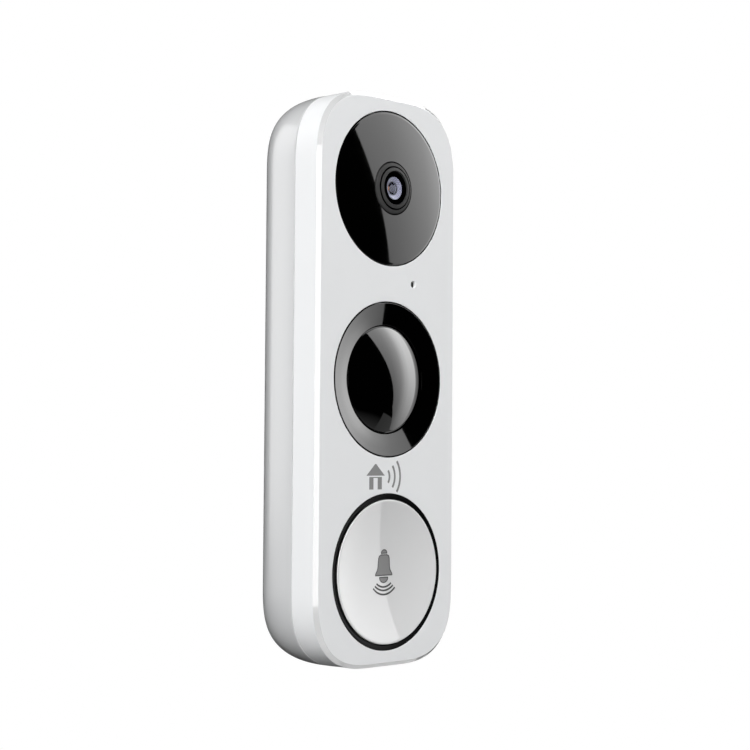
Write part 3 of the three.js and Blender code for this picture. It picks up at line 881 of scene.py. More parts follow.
# ---------------------------------------------------------------- outline of the body
@dataclass(frozen=True)
class BodyOutline:
    """The rounded rectangle that the faceplate and rear housing share."""

    width: float = span("faceplate", "x")[1] * 2
    height: float = span("faceplate", "z")[1] * 2
    extent: float = 18.35
    power: float = 2.74
    corner_steps: int = 56

    def points(self, inset: float = 0.0) -> list[Point]:
        """The outline, anticlockwise from the right.

        Args:
            inset: how far it is moved in along its own normals.

        Returns:
            Its (x, z) points.
        """
        quarter = []
        for i in range(self.corner_steps + 1):
            angle = i / self.corner_steps * math.pi / 2
            c = max(math.cos(angle), 0.0) ** (2 / self.power)
            s = max(math.sin(angle), 0.0) ** (2 / self.power)
            normal = Vector((c ** (self.power - 1), s ** (self.power - 1))).normalized()
            quarter.append((self.width / 2 - self.extent + self.extent * c - inset * normal.x,
                            self.height / 2 - self.extent + self.extent * s - inset * normal.y))
        back = quarter[::-1]
        return (quarter + [(-x, z) for x, z in back] + [(-x, -z) for x, z in quarter]
                + [(x, -z) for x, z in back])

    def row(self, inset: float, y: float) -> list[Vector]:
        """The outline at a depth."""
        return [Vector((x, y, z)) for x, z in self.points(inset)]


OUTLINE = BodyOutline()


def carve(target: bpy.types.Object, cutters: Iterable[bmesh.types.BMesh]) -> None:
    """Cuts closed shapes out of an object's mesh.

    Args:
        target: the object that is cut.
        cutters: the shapes, in millimetres; they are freed.
    """
    tools = []
    for i, shape in enumerate(cutters):
        tool = new_object(f"cutter_{i}", shape, Look.CHASSIS)
        cut = target.modifiers.new("cut", "BOOLEAN")
        cut.operation, cut.solver, cut.object = "DIFFERENCE", "EXACT", tool
        tools.append(tool)
    bpy.context.view_layer.update()
    settled = target.evaluated_get(bpy.context.evaluated_depsgraph_get())
    old, result = target.data, bpy.data.meshes.new_from_object(settled)
    target.modifiers.clear()
    target.data = result
    result.name = target.name
    result.materials.clear()
    result.materials.append(old.materials[0])
    bpy.data.meshes.remove(old)
    for tool in tools:
        bpy.data.meshes.remove(tool.data)
    result.set_sharp_from_angle(angle=math.radians(SHARP_DEGREES))


def even_normals(made: bpy.types.Object) -> None:
    """Lets large flat faces rule the shading, so that small radii don't tint them."""
    weighted = made.modifiers.new("even_normals", "WEIGHTED_NORMAL")
    weighted.keep_sharp = True


def softened(node: str, look: Look, slot: Slot, radius: float,
             sharp_degrees: float = 35.0) -> bpy.types.Object:
    """A CAD node given its small edge radii, which then stands for it.

    Args:
        node: the CAD node.
        look: its finish.
        slot: its material slot.
        radius: the edge radius in millimetres.
        sharp_degrees: edges that turn more than this are rounded.

    Returns:
        The replacement.
    """
    source = frame["nodes"][node]
    mesh = bmesh.new()
    mesh.from_mesh(source.data)
    bmesh.ops.scale(mesh, vec=(1 / MM, 1 / MM, 1 / MM), verts=mesh.verts)
    bmesh.ops.remove_doubles(mesh, verts=mesh.verts, dist=1e-3)
    flat = math.radians(1.0)
    bmesh.ops.dissolve_limit(mesh, angle_limit=flat, verts=mesh.verts, edges=mesh.edges,
                             use_dissolve_boundaries=False)
    limit = math.radians(sharp_degrees)
    sharp = [e for e in mesh.edges if len(e.link_faces) == 2 and e.calc_face_angle(0.0) > limit]
    bmesh.ops.bevel(mesh, geom=sharp, offset=radius, segments=2, profile=0.5, affect="EDGES",
                    clamp_overlap=True)
    made = new_object(f"{node}_moulded", mesh, look)
    even_normals(made)
    return add_piece(made, Body(source["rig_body"]), slot, node)


def dress(look: Look, *nodes: str) -> None:
    """Gives a finish to CAD nodes that are shown as they are.

    Args:
        look: the finish.
        nodes: the CAD nodes.
    """
    for name in nodes:
        data = frame["nodes"][name].data
        data.materials.clear()
        data.materials.append(look.material())


# ---------------------------------------------------------------- outer shells
ROUND_CENTRES = [centre("camera_window"), centre("pir_lens"), centre("button_cap")]


@dataclass
class Faceplate:
    """The front moulding: flat face, chamfer and side band, with its openings."""

    face_y: float = span("faceplate", "y")[0]
    back_y: float = span("faceplate", "y")[1] + 0.1
    chamfer: float = 0.92
    chamfer_slopes: Point = (0.3, 0.96)
    wall: float = 1.5
    edge: float = 0.14
    inner_edge: float = 0.3
    back_edge: float = 0.05
    hole_edge_share: float = 0.8
    support: float = 0.35
    support_share: float = 0.4
    opening: float = 17.92
    opening_steps: int = 160
    wall_shade_tolerance: float = 0.02
    clearance: float = 1.0
    mic: Point = centre("mic_gasket")
    mic_hole: float = 0.84
    mic_steps: int = 40
    mic_depth: float = 0.75
    mic_gap: float = 0.03
    mic_thick: float = 0.5
    slot_half: float = 12.6
    slot_front: float = 1.7
    slot_back: float = 6.0

    def build(self) -> None:
        """Builds the moulding and cuts the speaker slot through the bottom of its band."""
        inside_y = self.face_y + self.wall
        section = filleted([(self.chamfer + self.support, self.face_y), (self.chamfer, self.face_y),
                            (0.0, self.face_y + self.chamfer), (0.0, self.back_y), (self.wall, self.back_y),
                            (self.wall, inside_y), (self.wall + self.support, inside_y)],
                           [0, self.edge, self.edge, self.edge, self.edge, self.inner_edge, 0], 5,
                           closed=False)
        skin = loft([OUTLINE.row(inset, y) for inset, y in section])
        holes = [(at, self.opening, self.opening_steps) for at in ROUND_CENTRES]
        holes.append((self.mic, self.mic_hole, self.mic_steps))
        for end, depth in ((0, self.face_y), (-1, inside_y)):
            rims = [circle(at, radius + self.lip(radius), depth, steps) for at, radius, steps in holes]
            fill_flat(skin, [OUTLINE.row(section[end][0], depth), *rims])
        walls = [self.hole_wall(at, radius, steps) for at, radius, steps in holes]
        made = new_object("faceplate_shell", merged(skin, *walls), Look.SHELL)
        low = -OUTLINE.height / 2 - CUT_MARGIN
        high = -OUTLINE.height / 2 + self.wall + CUT_MARGIN
        half = self.slot_half
        slot = [(-half, low), (half, low), (half, high), (-half, high)]
        carve(made, [extruded(slot, self.face_y + self.slot_front, self.face_y + self.slot_back)])
        self.polish_chamfer(made.data)
        self.paint_wall_shade(made.data)
        even_normals(made)
        add_piece(made, Body.FACEPLATE, Slot.SHELL, "faceplate")
        self.mic_screen()

    def polish_chamfer(self, data: bpy.types.Mesh) -> None:
        """Gives the faces of the chamfer their polished finish.

        Args:
            data: the piece's mesh.
        """
        data.materials.append(Look.CHAMFER.material())
        for face in data.polygons:
            x, y, z = face.center / MM
            clear = all(math.hypot(x - at[0], z - at[1]) > self.opening + self.clearance
                        for at in ROUND_CENTRES)
            clear = clear and math.dist((x, z), self.mic) > self.mic_hole * 2
            shallow, steep = self.chamfer_slopes
            if clear and y < self.face_y + self.chamfer and shallow < -face.normal.y < steep:
                face.material_index = 1

    def paint_wall_shade(self, data: bpy.types.Mesh) -> None:
        """Paints shade on the walls of the round openings in the barrel's matt black, from just behind their
        front edge inwards.

        Args:
            data: the piece's mesh.
        """
        # painted shade: these walls are made black so that the gaps round the windows read dark
        data.materials.append(Look.BARREL.material())
        for face in data.polygons:
            x, y, z = face.center / MM
            near = min(abs(math.hypot(x - at[0], z - at[1]) - self.opening) for at in ROUND_CENTRES)
            if near < self.wall_shade_tolerance and y > self.face_y + self.edge:
                face.material_index = 2

    def mic_screen(self) -> None:
        """The black mesh a little way down the microphone's hole."""
        radius, y = self.mic_hole - self.mic_gap, self.face_y + self.mic_depth
        back = y + self.mic_thick
        screen = revolve([(0, y), (radius, y), (radius, back), (0, back)], self.mic, self.mic_steps)
        add_piece(new_object("mic_screen", screen, Look.MESH), Body.FACEPLATE, Slot.BLACK_GLOSS)

    def lip(self, radius: float) -> float:
        """The width of the flat ring kept round a hole."""
        return min(self.support, radius * self.support_share)

    def hole_wall(self, at: Point, radius: float, steps: int) -> bmesh.types.BMesh:
        """A hole's wall with its front edge rounded.

        Args:
            at: the hole's (x, z).
            radius: its radius.
            steps: segments round it.

        Returns:
            The mesh.
        """
        inside_y = self.face_y + self.wall
        outer = radius + self.lip(radius)
        corners = [(outer, self.face_y), (radius, self.face_y), (radius, inside_y), (outer, inside_y)]
        rounding = [0, self.edge * self.hole_edge_share, self.back_edge, 0]
        section = filleted(corners, rounding, 5, closed=False)
        return loft([circle(at, r, y, steps) for r, y in section])


@dataclass
class RearHousing:
    """The rounded rear shell with the pocket that takes the wall bracket."""

    seam_y: float = -15.34
    front_y: float = span("rear_housing", "y")[0] - 0.1
    back_y: float = span("rear_housing", "y")[1]
    inset: float = 11.7
    reach: float = 15.4
    power: float = 2.75
    rim: float = 0.16
    rim_angles: tuple[float, ...] = (68, 45, 22, 0)
    steps: int = 44
    recess: float = 1.8
    ledge_y: float = -11.44
    wall: float = 3.4
    floor_y: float = -6.0
    floor_draft: float = 0.8
    pocket: tuple[float, float, float, float] = (14.3, 56.5, -4.6, 6.0)
    lip_z: float = 33.0
    lip_half: float = 3.0
    lip_reach: float = 1.9
    lip_thick: float = 1.5
    lip_root: float = 0.45
    lip_corner: float = 0.4
    screw: float = span("security_screw", "y")[0] + 1.8
    counterbore: float = 2.2
    counterbore_top: float = -58.0
    bore: float = 1.4
    terminal_bore: float = 2.0

    def skin_inset(self, y: float) -> float:
        """How far the skin has come in from the band at a depth."""
        depth = max(y - self.seam_y, 0.0) / self.reach
        return self.inset * (1 - (1 - depth ** self.power) ** (1 / self.power))

    def build(self) -> None:
        """Builds the shell, then cuts its pocket, screw hole and terminal holes."""
        turns = [math.sin(i / self.steps * math.pi / 2) for i in range(1, self.steps + 1)]
        depths = [self.front_y + self.rim + (self.back_y - self.front_y - self.rim) * t for t in turns]
        edge = [(self.rim * (1 - math.cos(math.radians(a))),
                 self.front_y + self.rim * (1 - math.sin(math.radians(a)))) for a in self.rim_angles]
        outer = [(self.rim, self.front_y), *edge, *((self.skin_inset(y), y) for y in depths)]
        inner = [(self.recess, self.front_y), (self.recess, self.ledge_y), (self.wall, self.ledge_y),
                 (self.wall + self.floor_draft, self.floor_y)]
        rows = [OUTLINE.row(i, y) for i, y in inner[::-1] + outer]
        shell = loft(rows)
        fill_flat(shell, [rows[0]])
        fill_flat(shell, [rows[-1]])
        made = new_object("rear_shell", shell, Look.REAR)
        x, z, y, corner = self.pocket
        hollow = filleted([(-x, -z), (x, -z), (x, z), (-x, z)], corner, 12)
        shaft, head = self.rod(self.bore, -z + CUT_MARGIN), self.rod(self.counterbore, self.counterbore_top)
        low, high = self.floor_y - CUT_MARGIN, y + CUT_MARGIN
        bore = [(0, low), (self.terminal_bore, low), (self.terminal_bore, high), (0, high)]
        terminals = [revolve(bore, centre(f"terminal_screw_{side}"), 32) for side in ("left", "right")]
        carve(made, [extruded(hollow, y, self.back_y + CUT_MARGIN), shaft, head, *terminals])
        even_normals(made)
        add_piece(made, Body.UNIT, Slot.REAR, "rear_housing")
        for side in (-1, 1):
            for at in (-self.lip_z, self.lip_z):
                self.lip(side, at)

    def rod(self, radius: float, top: float) -> bmesh.types.BMesh:
        """An upright cutter on the screw's axis.

        Args:
            radius: its radius.
            top: the height that it reaches from below the housing.

        Returns:
            The mesh.
        """
        mesh = bmesh.new()
        bottom = -OUTLINE.height / 2 - CUT_MARGIN
        turn = Matrix.Translation((0, self.screw, (top + bottom) / 2))
        bmesh.ops.create_cone(mesh, cap_ends=True, segments=48, radius1=radius, radius2=radius,
                              depth=top - bottom, matrix=turn)
        return mesh

    def lip(self, side: int, at: float) -> None:
        """Adds one of the four lips that hang on the bracket's ears.

        Args:
            side: 1 for the right, -1 for the left.
            at: its height.
        """
        x = self.pocket[0]
        a, b = side * (x + self.lip_root), side * (x - self.lip_reach)
        low, high = at - self.lip_half, at + self.lip_half
        rounding = [0, self.lip_corner, self.lip_corner, 0]
        outline = filleted([(a, low), (b, low), (b, high), (a, high)], rounding, 4)
        shape = extruded(outline, self.back_y - self.lip_thick, self.back_y)
        name = f"pocket_lip_{'right' if side > 0 else 'left'}_{'top' if at > 0 else 'bottom'}"
        add_piece(new_object(name, shape, Look.REAR), Body.UNIT, Slot.REAR)


# ---------------------------------------------------------------- camera
@dataclass(frozen=True)
class PaintedIrisArc:
    """An arc of painted light or shade round the pupil, between two angles in degrees."""

    look: Look
    reach: float
    start: float
    end: float
    width: float


@dataclass
class CameraEye:
    """The camera's window, collar, barrel and glass. Sections are (radius, depth from the front) points."""

    at: Point = centre("camera_window")
    face_y: float = span("faceplate", "y")[0]
    rim: float = 17.62
    sagitta: float = 1.15
    flange: Point = (-21.2, -20.9)
    flange_r: float = 18.9
    hole: float = 6.2
    collar_r: float = 5.88
    collar_top: tuple[Point, ...] = ((3.9, -1.8), (4.0, -1.9), (4.72, -1.6), (4.8, -1.22), (5.0, -1.22),
                                     (5.06, -1.5), (5.75, -1.2))
    collar_side: float = -1.08
    collar_foot: Point = (3.9, 6.6)
    collar_edges: tuple[float, ...] = (0.03, 0.05, 0.05, 0, 0, 0.05, 0.08, 0, 0, 0, 0, 0)
    groove: Point = (4.7, 5.07)
    chassis_y: float = -20.6
    collar_back: float = span("lens_collar", "y")[1]
    barrel_front: float = span("lens_barrel", "y")[0]
    barrel_bore: tuple[Point, ...] = ((2.3, 2.4), (2.62, 2.4), (2.62, 1.1), (2.74, 1.1), (2.74, 0.55),
                                      (2.88, 0.4), (2.88, 0.1), (2.95, 0.0), (3.6, 0.0))
    barrel_skirt: Point = (3.6, 5.2)
    barrel_step: float = -17.0
    barrel_back: float = -15.2
    barrel_edge: float = 0.03
    glass_front: float = span("front_lens", "y")[0]
    glass_r: float = 2.65
    glass_back: float = 0.36
    glass_sagitta: float = 0.45
    glass_steps: int = 96
    spacer: tuple[Point, ...] = ((1.62, 0.86), (2.56, 0.42), (2.6, 0.5), (2.6, 1.0), (1.62, 1.0))
    aperture: tuple[Point, ...] = ((0.0, 1.05), (1.6, 0.9), (1.6, 1.3), (0.0, 1.3))
    pupil_r: float = 0.98
    pupil_shift: float = 0.22
    pupil_front: float = 1.0
    pupil_back: float = 1.3
    pupil_sagitta: float = 0.32
    painted_iris_depth: float = 0.86
    # painted shade above left of and below the pupil, a painted copper glint at its left and a painted
    # highlight at its right
    iris_light_and_shade: tuple[PaintedIrisArc, ...] = (
        PaintedIrisArc(Look.BARREL, 1.2, 58, 160, 0.5),
        PaintedIrisArc(Look.PAINTED_GLINT, 1.24, 163, 205, 0.3),
        PaintedIrisArc(Look.BAFFLE, 1.06, -70, 52, 0.2),
        PaintedIrisArc(Look.BARREL, 1.14, 232, 296, 0.3),
    )

    def build(self) -> None:
        """Builds every piece that shows in the window."""
        self.window()
        self.collar()
        self.barrel()
        self.glass()

    def window(self) -> None:
        """The domed black window."""
        dome = bowl(self.rim, self.face_y, self.sagitta, self.hole, self.rim, 40)
        edge = [(self.rim, self.flange[0]), (self.flange_r, self.flange[0]), (self.flange_r, self.flange[1]),
                (self.hole, self.flange[1])]
        section = dome[:-1] + filleted([dome[-1], *edge], [0.12, 0, 0, 0, 0], 5)
        made = new_object("window_lens", revolve(section, self.at, 192), Look.WINDOW)
        even_normals(made)
        add_piece(made, Body.UNIT, Slot.WINDOW, "camera_window")

    def collar(self) -> None:
        """The stepped collar with its fine groove."""
        inner, outer = self.collar_foot
        section = [*sunk(self.collar_top, self.face_y), (self.collar_r, self.face_y + self.collar_side),
                   (self.collar_r, self.chassis_y), (outer, self.chassis_y), (outer, self.collar_back),
                   (inner, self.collar_back)]
        made = new_object("collar_ring", revolve(filleted(section, self.collar_edges), self.at), Look.COLLAR)
        self.paint_groove_shade(made.data)
        add_piece(made, Body.UNIT, Slot.BLACK_GLOSS, "lens_collar")

    def paint_groove_shade(self, data: bpy.types.Mesh) -> None:
        """Paints the step's shadow on the groove's walls in the barrel's matt black.

        Args:
            data: the piece's mesh.
        """
        # painted shade: the groove's walls are made black where the step shades them
        data.materials.append(Look.BARREL.material())
        for face in data.polygons:
            x, _, z = face.center / MM
            if self.groove[0] < math.hypot(x - self.at[0], z - self.at[1]) < self.groove[1]:
                face.material_index = 1

    def barrel(self) -> None:
        """The threaded lens barrel, with baffle steps down its bore."""
        neck, skirt = self.barrel_skirt
        section = [(self.barrel_bore[0][0], self.barrel_back), *sunk(self.barrel_bore, self.barrel_front),
                   (neck, self.barrel_step), (skirt, self.barrel_step), (skirt, self.barrel_back)]
        made = new_object("barrel_ring", revolve(filleted(section, self.barrel_edge), self.at), Look.BARREL)
        add_piece(made, Body.UNIT, Slot.BLACK_GLOSS, "lens_barrel")

    def glass(self) -> None:
        """The front glass with the spacer ring, aperture and pupil seen through it, and arcs of painted
        shade, glint and highlight round the pupil.
        """
        front = self.barrel_front
        edge_y = self.glass_front + self.glass_sagitta
        dome = bowl(self.glass_r, edge_y, self.glass_sagitta, 0, self.glass_r, 16)
        glass = dome + sunk([(self.glass_r, self.glass_back), (0, self.glass_back)], front)
        made = new_object("front_glass", revolve(glass, self.at, self.glass_steps), Look.LENS)
        add_piece(made, Body.UNIT, Slot.LENS, "front_lens")
        pupil_at = (self.at[0] - self.pupil_shift, self.at[1] - self.pupil_shift / 3)
        pupil = bowl(self.pupil_r, front + self.pupil_front, self.pupil_sagitta, 0, self.pupil_r, 12)
        pupil += sunk([(self.pupil_r, self.pupil_back), (0, self.pupil_back)], front)
        for name, look, section, at in (
            ("lens_spacer", Look.BAFFLE, sunk(self.spacer, front), self.at),
            ("lens_aperture", Look.APERTURE, sunk(self.aperture, front), self.at),
            ("lens_pupil", Look.PUPIL, pupil, pupil_at),
        ):
            made = new_object(name, revolve(section, at, self.glass_steps), look)
            add_piece(made, Body.UNIT, Slot.LENS)
        # the arcs of painted shade, glint and highlight lie just in front of the spacer
        mark = PrintedMark("painted_iris_light", lambda x, z: front + self.painted_iris_depth)
        for stroke in self.iris_light_and_shade:
            path = arc(pupil_at, stroke.reach, stroke.start, stroke.end, 24)
            mark.add(stroke.look, Body.UNIT, Slot.LENS, mark.stroke(path, stroke.width, closed=False))


# ---------------------------------------------------------------- motion sensor
@dataclass
class MotionSensor:
    """The dished gloss bezel and the domed lens in it."""

    at: Point = centre("pir_lens")
    face_y: float = span("faceplate", "y")[0]
    rim: float = 17.62
    throat: float = 12.6
    dish: float = 1.2
    flange: Point = (-21.2, -20.9)
    flange_r: float = 18.9
    lens_r: float = 12.3
    dome_r: float = 12.0
    dome_depth: float = 1.37
    dome_sagitta: float = 2.84
    bend: Point = (15.0, 0.585)
    skirt_y: float = -18.9
    skirt_r: float = 15.4
    skirt_thick: float = 1.0
    wall: float = 0.8
    step: float = 0.3
    hollow_depth: float = 1.0
    hollow_step: float = 1.1
    hollow_flatter: float = 0.2
    bezel_edges: tuple[float, ...] = (0.05, 60.0, 0.1, 0, 0.05, 0.05, 0.05)
    lens_edges: tuple[float, ...] = (0, 0.05, 0.04, 0.06, 0, 0.05, 0.05, 0, 0, 0)

    def build(self) -> None:
        """Builds the bezel and the lens."""
        low = self.face_y + self.dish
        funnel = [(self.throat, low), (self.bend[0], self.face_y + self.bend[1]), (self.rim, self.face_y),
                  (self.rim, self.flange[0]), (self.flange_r, self.flange[0]),
                  (self.flange_r, self.flange[1]), (self.throat, self.flange[1])]
        section = filleted(funnel, self.bezel_edges, 12)
        bezel = new_object("bezel_ring", revolve(section, self.at, 192), Look.BEZEL)
        even_normals(bezel)
        add_piece(bezel, Body.UNIT, Slot.BLACK_GLOSS, "pir_bezel")
        base = self.face_y + self.dome_depth
        step = base + self.step
        dome = bowl(self.dome_r, base, self.dome_sagitta, 0, self.dome_r, 48)
        hollow_r, hollow_sagitta = self.dome_r - self.wall, self.dome_sagitta - self.hollow_flatter
        inner = bowl(hollow_r, base + self.hollow_depth, hollow_sagitta, 0, hollow_r, 20)[::-1]
        bore, back = self.lens_r - self.wall, self.skirt_y + self.skirt_thick
        corners = [dome[-2], dome[-1], (self.dome_r, step), (self.lens_r, step), (self.lens_r, self.skirt_y),
                   (self.skirt_r, self.skirt_y), (self.skirt_r, back), (bore, back),
                   (bore, base + self.hollow_step), inner[0]]
        side = filleted(corners, self.lens_edges, 4, closed=False)
        whole = revolve(dome[:-2] + side + inner[1:], self.at, 192)
        lens = new_object("motion_lens", whole, Look.MOTION_LENS)
        even_normals(lens)
        add_piece(lens, Body.UNIT, Slot.MOTION_LENS, "pir_lens")


# ---------------------------------------------------------------- printed marks
class PrintedMark:
    """Thin ink that follows a surface."""

    def __init__(self, name: str, surface: Callable[[float, float], float], lift: float = 0.012) -> None:
        """Starts a mark.

        Args:
            name: the mark's name.
            surface: the surface's y at an (x, z).
            lift: how far the ink stands off it, in millimetres.
        """
        self.name = name
        self.surface = surface
        self.lift = lift
        self.count = 0

    def area(self, rows: Sequence[tuple[float, float, float]], columns: int = 16) -> bmesh.types.BMesh:
        """A filled patch.

        Args:
            rows: its rows, as (z, left x, right x).
            columns: steps across it.

        Returns:
            The mesh.
        """
        return patch([[self.place(left + (right - left) * i / columns, z, 1.0) for i in range(columns + 1)]
                      for z, left, right in rows])

    def stroke(self, path: Sequence[Point], width: float, closed: bool = True) -> bmesh.types.BMesh:
        """A line along a path, a little above the filled patches.

        Args:
            path: its (x, z) points.
            width: its width.
            closed: whether the last point joins the first.

        Returns:
            The mesh.
        """
        mesh = bmesh.new()
        count = len(path)
        sides = []
        for i, point in enumerate(path):
            before = Vector(path[i - 1] if closed or i else path[i])
            after = Vector(path[(i + 1) % count] if closed or i + 1 < count else path[i])
            along = (after - before).normalized()
            across = Vector((-along.y, along.x)) * width / 2
            ends = (Vector(point) + across, Vector(point) - across)
            sides.append([mesh.verts.new(self.place(p.x, p.y, 2.0)) for p in ends])
        pairs = list(zip(sides, sides[1:])) + ([(sides[-1], sides[0])] if closed else [])
        for (a, b), (c, d) in pairs:
            mesh.faces.new([a, b, d, c])
        return mesh

    def place(self, x: float, z: float, layer: float) -> Vector:
        """A point on the surface, lifted by its layer."""
        return Vector((x, self.surface(x, z) - self.lift * layer, z))

    def add(self, look: Look, body: Body, slot: Slot, *meshes: bmesh.types.BMesh) -> None:
        """Adds ink as one piece.

        Args:
            look: its finish.
            body: the body that it rides on.
            slot: its material slot.
            meshes: its patches and lines.
        """
        self.count += 1
        made = new_object(f"{self.name}_{self.count}", merged(*meshes), look)
        add_piece(made, body, slot)


def resampled(path: Sequence[Point], step: float) -> list[Point]:
    """The same path with more points.

    Args:
        path: its (x, z) points; the last joins the first.
        step: the furthest that two neighbours may be apart.

    Returns:
        The finer path.
    """
    result = []
    for (xa, za), (xb, zb) in zip(path, list(path[1:]) + [path[0]]):
        pieces = max(1, math.ceil(math.dist((xa, za), (xb, zb)) / step))
        result += [(xa + (xb - xa) * i / pieces, za + (zb - za) * i / pieces) for i in range(pieces)]
    return result


# ---------------------------------------------------------------- button
@dataclass
class BellButton:
    """The dished button cap with its printed bell, and the light ring round it.

    The bell is drawn from the button's middle. The knob and the clapper are (half width, height, base), and a
    wave is (half width, height of its ends, height of its lowest point).
    """

    at: Point = centre("button_cap")
    face_y: float = span("faceplate", "y")[0]
    cap_r: float = 16.5
    cap_edge: float = 0.3
    cap_rim: float = -0.3
    dish: float = 1.55
    rim_back: float = 1.5
    skirt: Point = (12.4, 13.6)
    boss_y: float = -19.9
    skirt_y: float = -17.6
    boss: Point = (3.0, -18.2)
    flange: Point = (-21.2, -20.9)
    flange_r: float = 18.9
    ring_rim: float = 17.86
    gap: float = 0.3
    cap_edge_drop: tuple[Point, ...] = ((-0.06, 0.02), (0.0, 0.25))
    ring_front: Point = (0.2, 0.02)
    line: float = 0.24
    line_step: float = 0.3
    knob: tuple[float, float, float] = (0.96, 0.8, 4.2)
    clapper: tuple[float, float, float] = (1.4, 1.2, -1.3)
    clapper_half: float = 1.42
    bell_half: tuple[Point, ...] = ((2.78, -0.84), (2.76, -0.68), (2.6, -0.28), (2.15, 0.3), (1.97, 0.85),
                                    (1.8, 3.0), (1.56, 3.6), (0.95, 3.84))
    bell_edges: tuple[float, ...] = (0.05, 0.1, 0.3, 0.4, 1.0, 0.6, 0.3, 0.3)
    waves: tuple[tuple[float, float, float], ...] = ((2.42, -2.66, -3.49), (3.0, -3.2, -4.29),
                                                     (3.6, -3.7, -5.22))
    wave_line: float = 0.42

    def surface(self, x: float, z: float) -> float:
        """The dish's surface.

        Args:
            x: the place's x.
            z: its z.

        Returns:
            The dish's y there.
        """
        reach = math.hypot(x - self.at[0], z - self.at[1])
        rim = self.cap_r - self.cap_edge
        return bowl(rim, self.face_y + self.cap_rim, -self.dish, reach, reach, 1)[0][1]

    def build(self) -> None:
        """Builds the cap, its mark and the ring."""
        rim = self.cap_r - self.cap_edge
        rim_y = self.face_y + self.cap_rim
        dish = bowl(rim, rim_y, -self.dish, 0, rim, 40)
        shoulder = [(self.cap_r + reach, rim_y + drop) for reach, drop in self.cap_edge_drop]
        edge = filleted([dish[-1], *shoulder, (self.cap_r, self.face_y + self.rim_back)],
                        [0, 0.1, 0.1, 0], 6, closed=False)
        foot = [(self.skirt[1], self.face_y + self.rim_back), (self.skirt[1], self.skirt_y),
                (self.skirt[0], self.skirt_y), (self.skirt[0], self.boss_y), (self.boss[0], self.boss_y),
                self.boss, (0, self.boss[1])]
        section = dish[:-1] + edge[:-1] + foot
        cap = new_object("cap_disc", revolve(section, self.at, 192), Look.CAP)
        even_normals(cap)
        add_piece(cap, Body.BUTTON, Slot.CAP, "button_cap")
        ring = [(self.cap_r + self.gap, self.face_y + self.ring_front[0]),
                (self.ring_rim, self.face_y + self.ring_front[1]),
                (self.ring_rim, self.flange[0]), (self.flange_r, self.flange[0]),
                (self.flange_r, self.flange[1]), (self.cap_r + self.gap, self.flange[1])]
        ring = filleted(ring, [0.05, 0.08, 0, 0, 0, 0])
        made = new_object("ring_guide", revolve(ring, self.at, 192), Look.RING)
        add_piece(made, Body.UNIT, Slot.RING, "light_ring")
        self.bell()

    def bell(self) -> None:
        """The printed bell: a knob, the bell, its clapper and three waves below it."""
        mark = PrintedMark("bell_mark", self.surface)
        x0, z0 = self.at
        half, height, base = self.knob
        turns = [math.pi * i / 24 for i in range(25)]
        knob = [(half * math.cos(a), base + height * math.sin(a)) for a in turns]
        bell = filleted([*self.bell_half, *((-x, z) for x, z in self.bell_half[::-1])],
                        self.bell_edges + self.bell_edges[::-1], 6)
        half, height, base = self.clapper
        clapper = [(-self.clapper_half, base), (self.clapper_half, base)]
        clapper += [(half * math.cos(a), base - height * math.sin(a)) for a in turns[1:-1]]
        fills, lines = [], []
        for shape in (knob, bell, clapper):
            outline = [(x0 + x, z0 + z) for x, z in shape]
            fills.append(mark.area(self.scan(outline)))
            lines.append(mark.stroke(resampled(outline, self.line_step), self.line))
        for half, end, bottom in self.waves:
            sagitta = end - bottom
            radius = (half * half + sagitta * sagitta) / (2 * sagitta)
            reach = math.degrees(math.asin(half / radius))
            path = arc((x0, z0 + bottom + radius), radius, -90 - reach, -90 + reach, 24)
            lines.append(mark.stroke(path, self.wave_line, closed=False))
        mark.add(Look.INK, Body.BUTTON, Slot.CAP, *fills)
        mark.add(Look.INK_EDGE, Body.BUTTON, Slot.CAP, *lines)

    @staticmethod
    def scan(shape: Sequence[Point], step: float = 0.08) -> list[tuple[float, float, float]]:
        """Cuts an outline into level rows.

        Args:
            shape: its (x, z) points.
            step: the height of a row.

        Returns:
            The rows, as (z, left x, right x).
        """
        low, high = min(z for _, z in shape), max(z for _, z in shape)
        rows = max(4, round((high - low) / step))
        result = []
        for i in range(rows + 1):
            z = low + (high - low) * min(max(i / rows, 1e-4), 1 - 1e-4)
            cuts = []
            for (xa, za), (xb, zb) in zip(shape, list(shape[1:]) + [shape[0]]):
                if (za - z) * (zb - z) < 0:
                    cuts.append(xa + (xb - xa) * (z - za) / (zb - za))
            if len(cuts) >= 2:
                result.append((z, min(cuts), max(cuts)))
        return result


@dataclass
class HomeMark:
    """A plain printed house with signal arcs, on the face between the motion sensor and the button."""

    at: Point = (-4.2, -22.25)
    half: float = 2.9
    face_y: float = span("faceplate", "y")[0]
    line: float = 0.6
    waves: tuple[float, ...] = (2.4, 4.2, 6.0)
    wave_spread: float = 36.0
    wave_centre: float = 2.2

    def build(self) -> None:
        """Builds the roof, the walls on each side of the door, and the arcs."""
        mark = PrintedMark("home_mark", lambda x, z: self.face_y)
        x, z, h = *self.at, self.half
        eaves, door = z + 0.08 * h, z - 0.1 * h
        roof = [(z + h, x - 0.06 * h, x + 0.06 * h), (eaves, x - 1.05 * h, x + 1.05 * h)]
        body = [(eaves - 0.1 * h, x - 0.72 * h, x + 0.72 * h), (door, x - 0.72 * h, x + 0.72 * h)]
        sides = [[(door, x + a * h, x + b * h), (z - h, x + a * h, x + b * h)]
                 for a, b in ((-0.72, -0.24), (0.24, 0.72))]
        middle, spread = (x + self.wave_centre, z), self.wave_spread
        paths = [arc(middle, radius, -spread, spread, 24) for radius in self.waves]
        arcs = [mark.stroke(path, self.line, closed=False) for path in paths]
        fills = [mark.area(rows, 4) for rows in (roof, body, *sides)]
        mark.add(Look.INK, Body.FACEPLATE, Slot.SHELL, *fills, *arcs)


# ---------------------------------------------------------------- inner parts
@dataclass(frozen=True)
class Inner:
    """A kind of inner part: which CAD nodes, their finish and their edge radius."""

    look: Look
    slot: Slot
    radius: float
    nodes: tuple[str, ...]


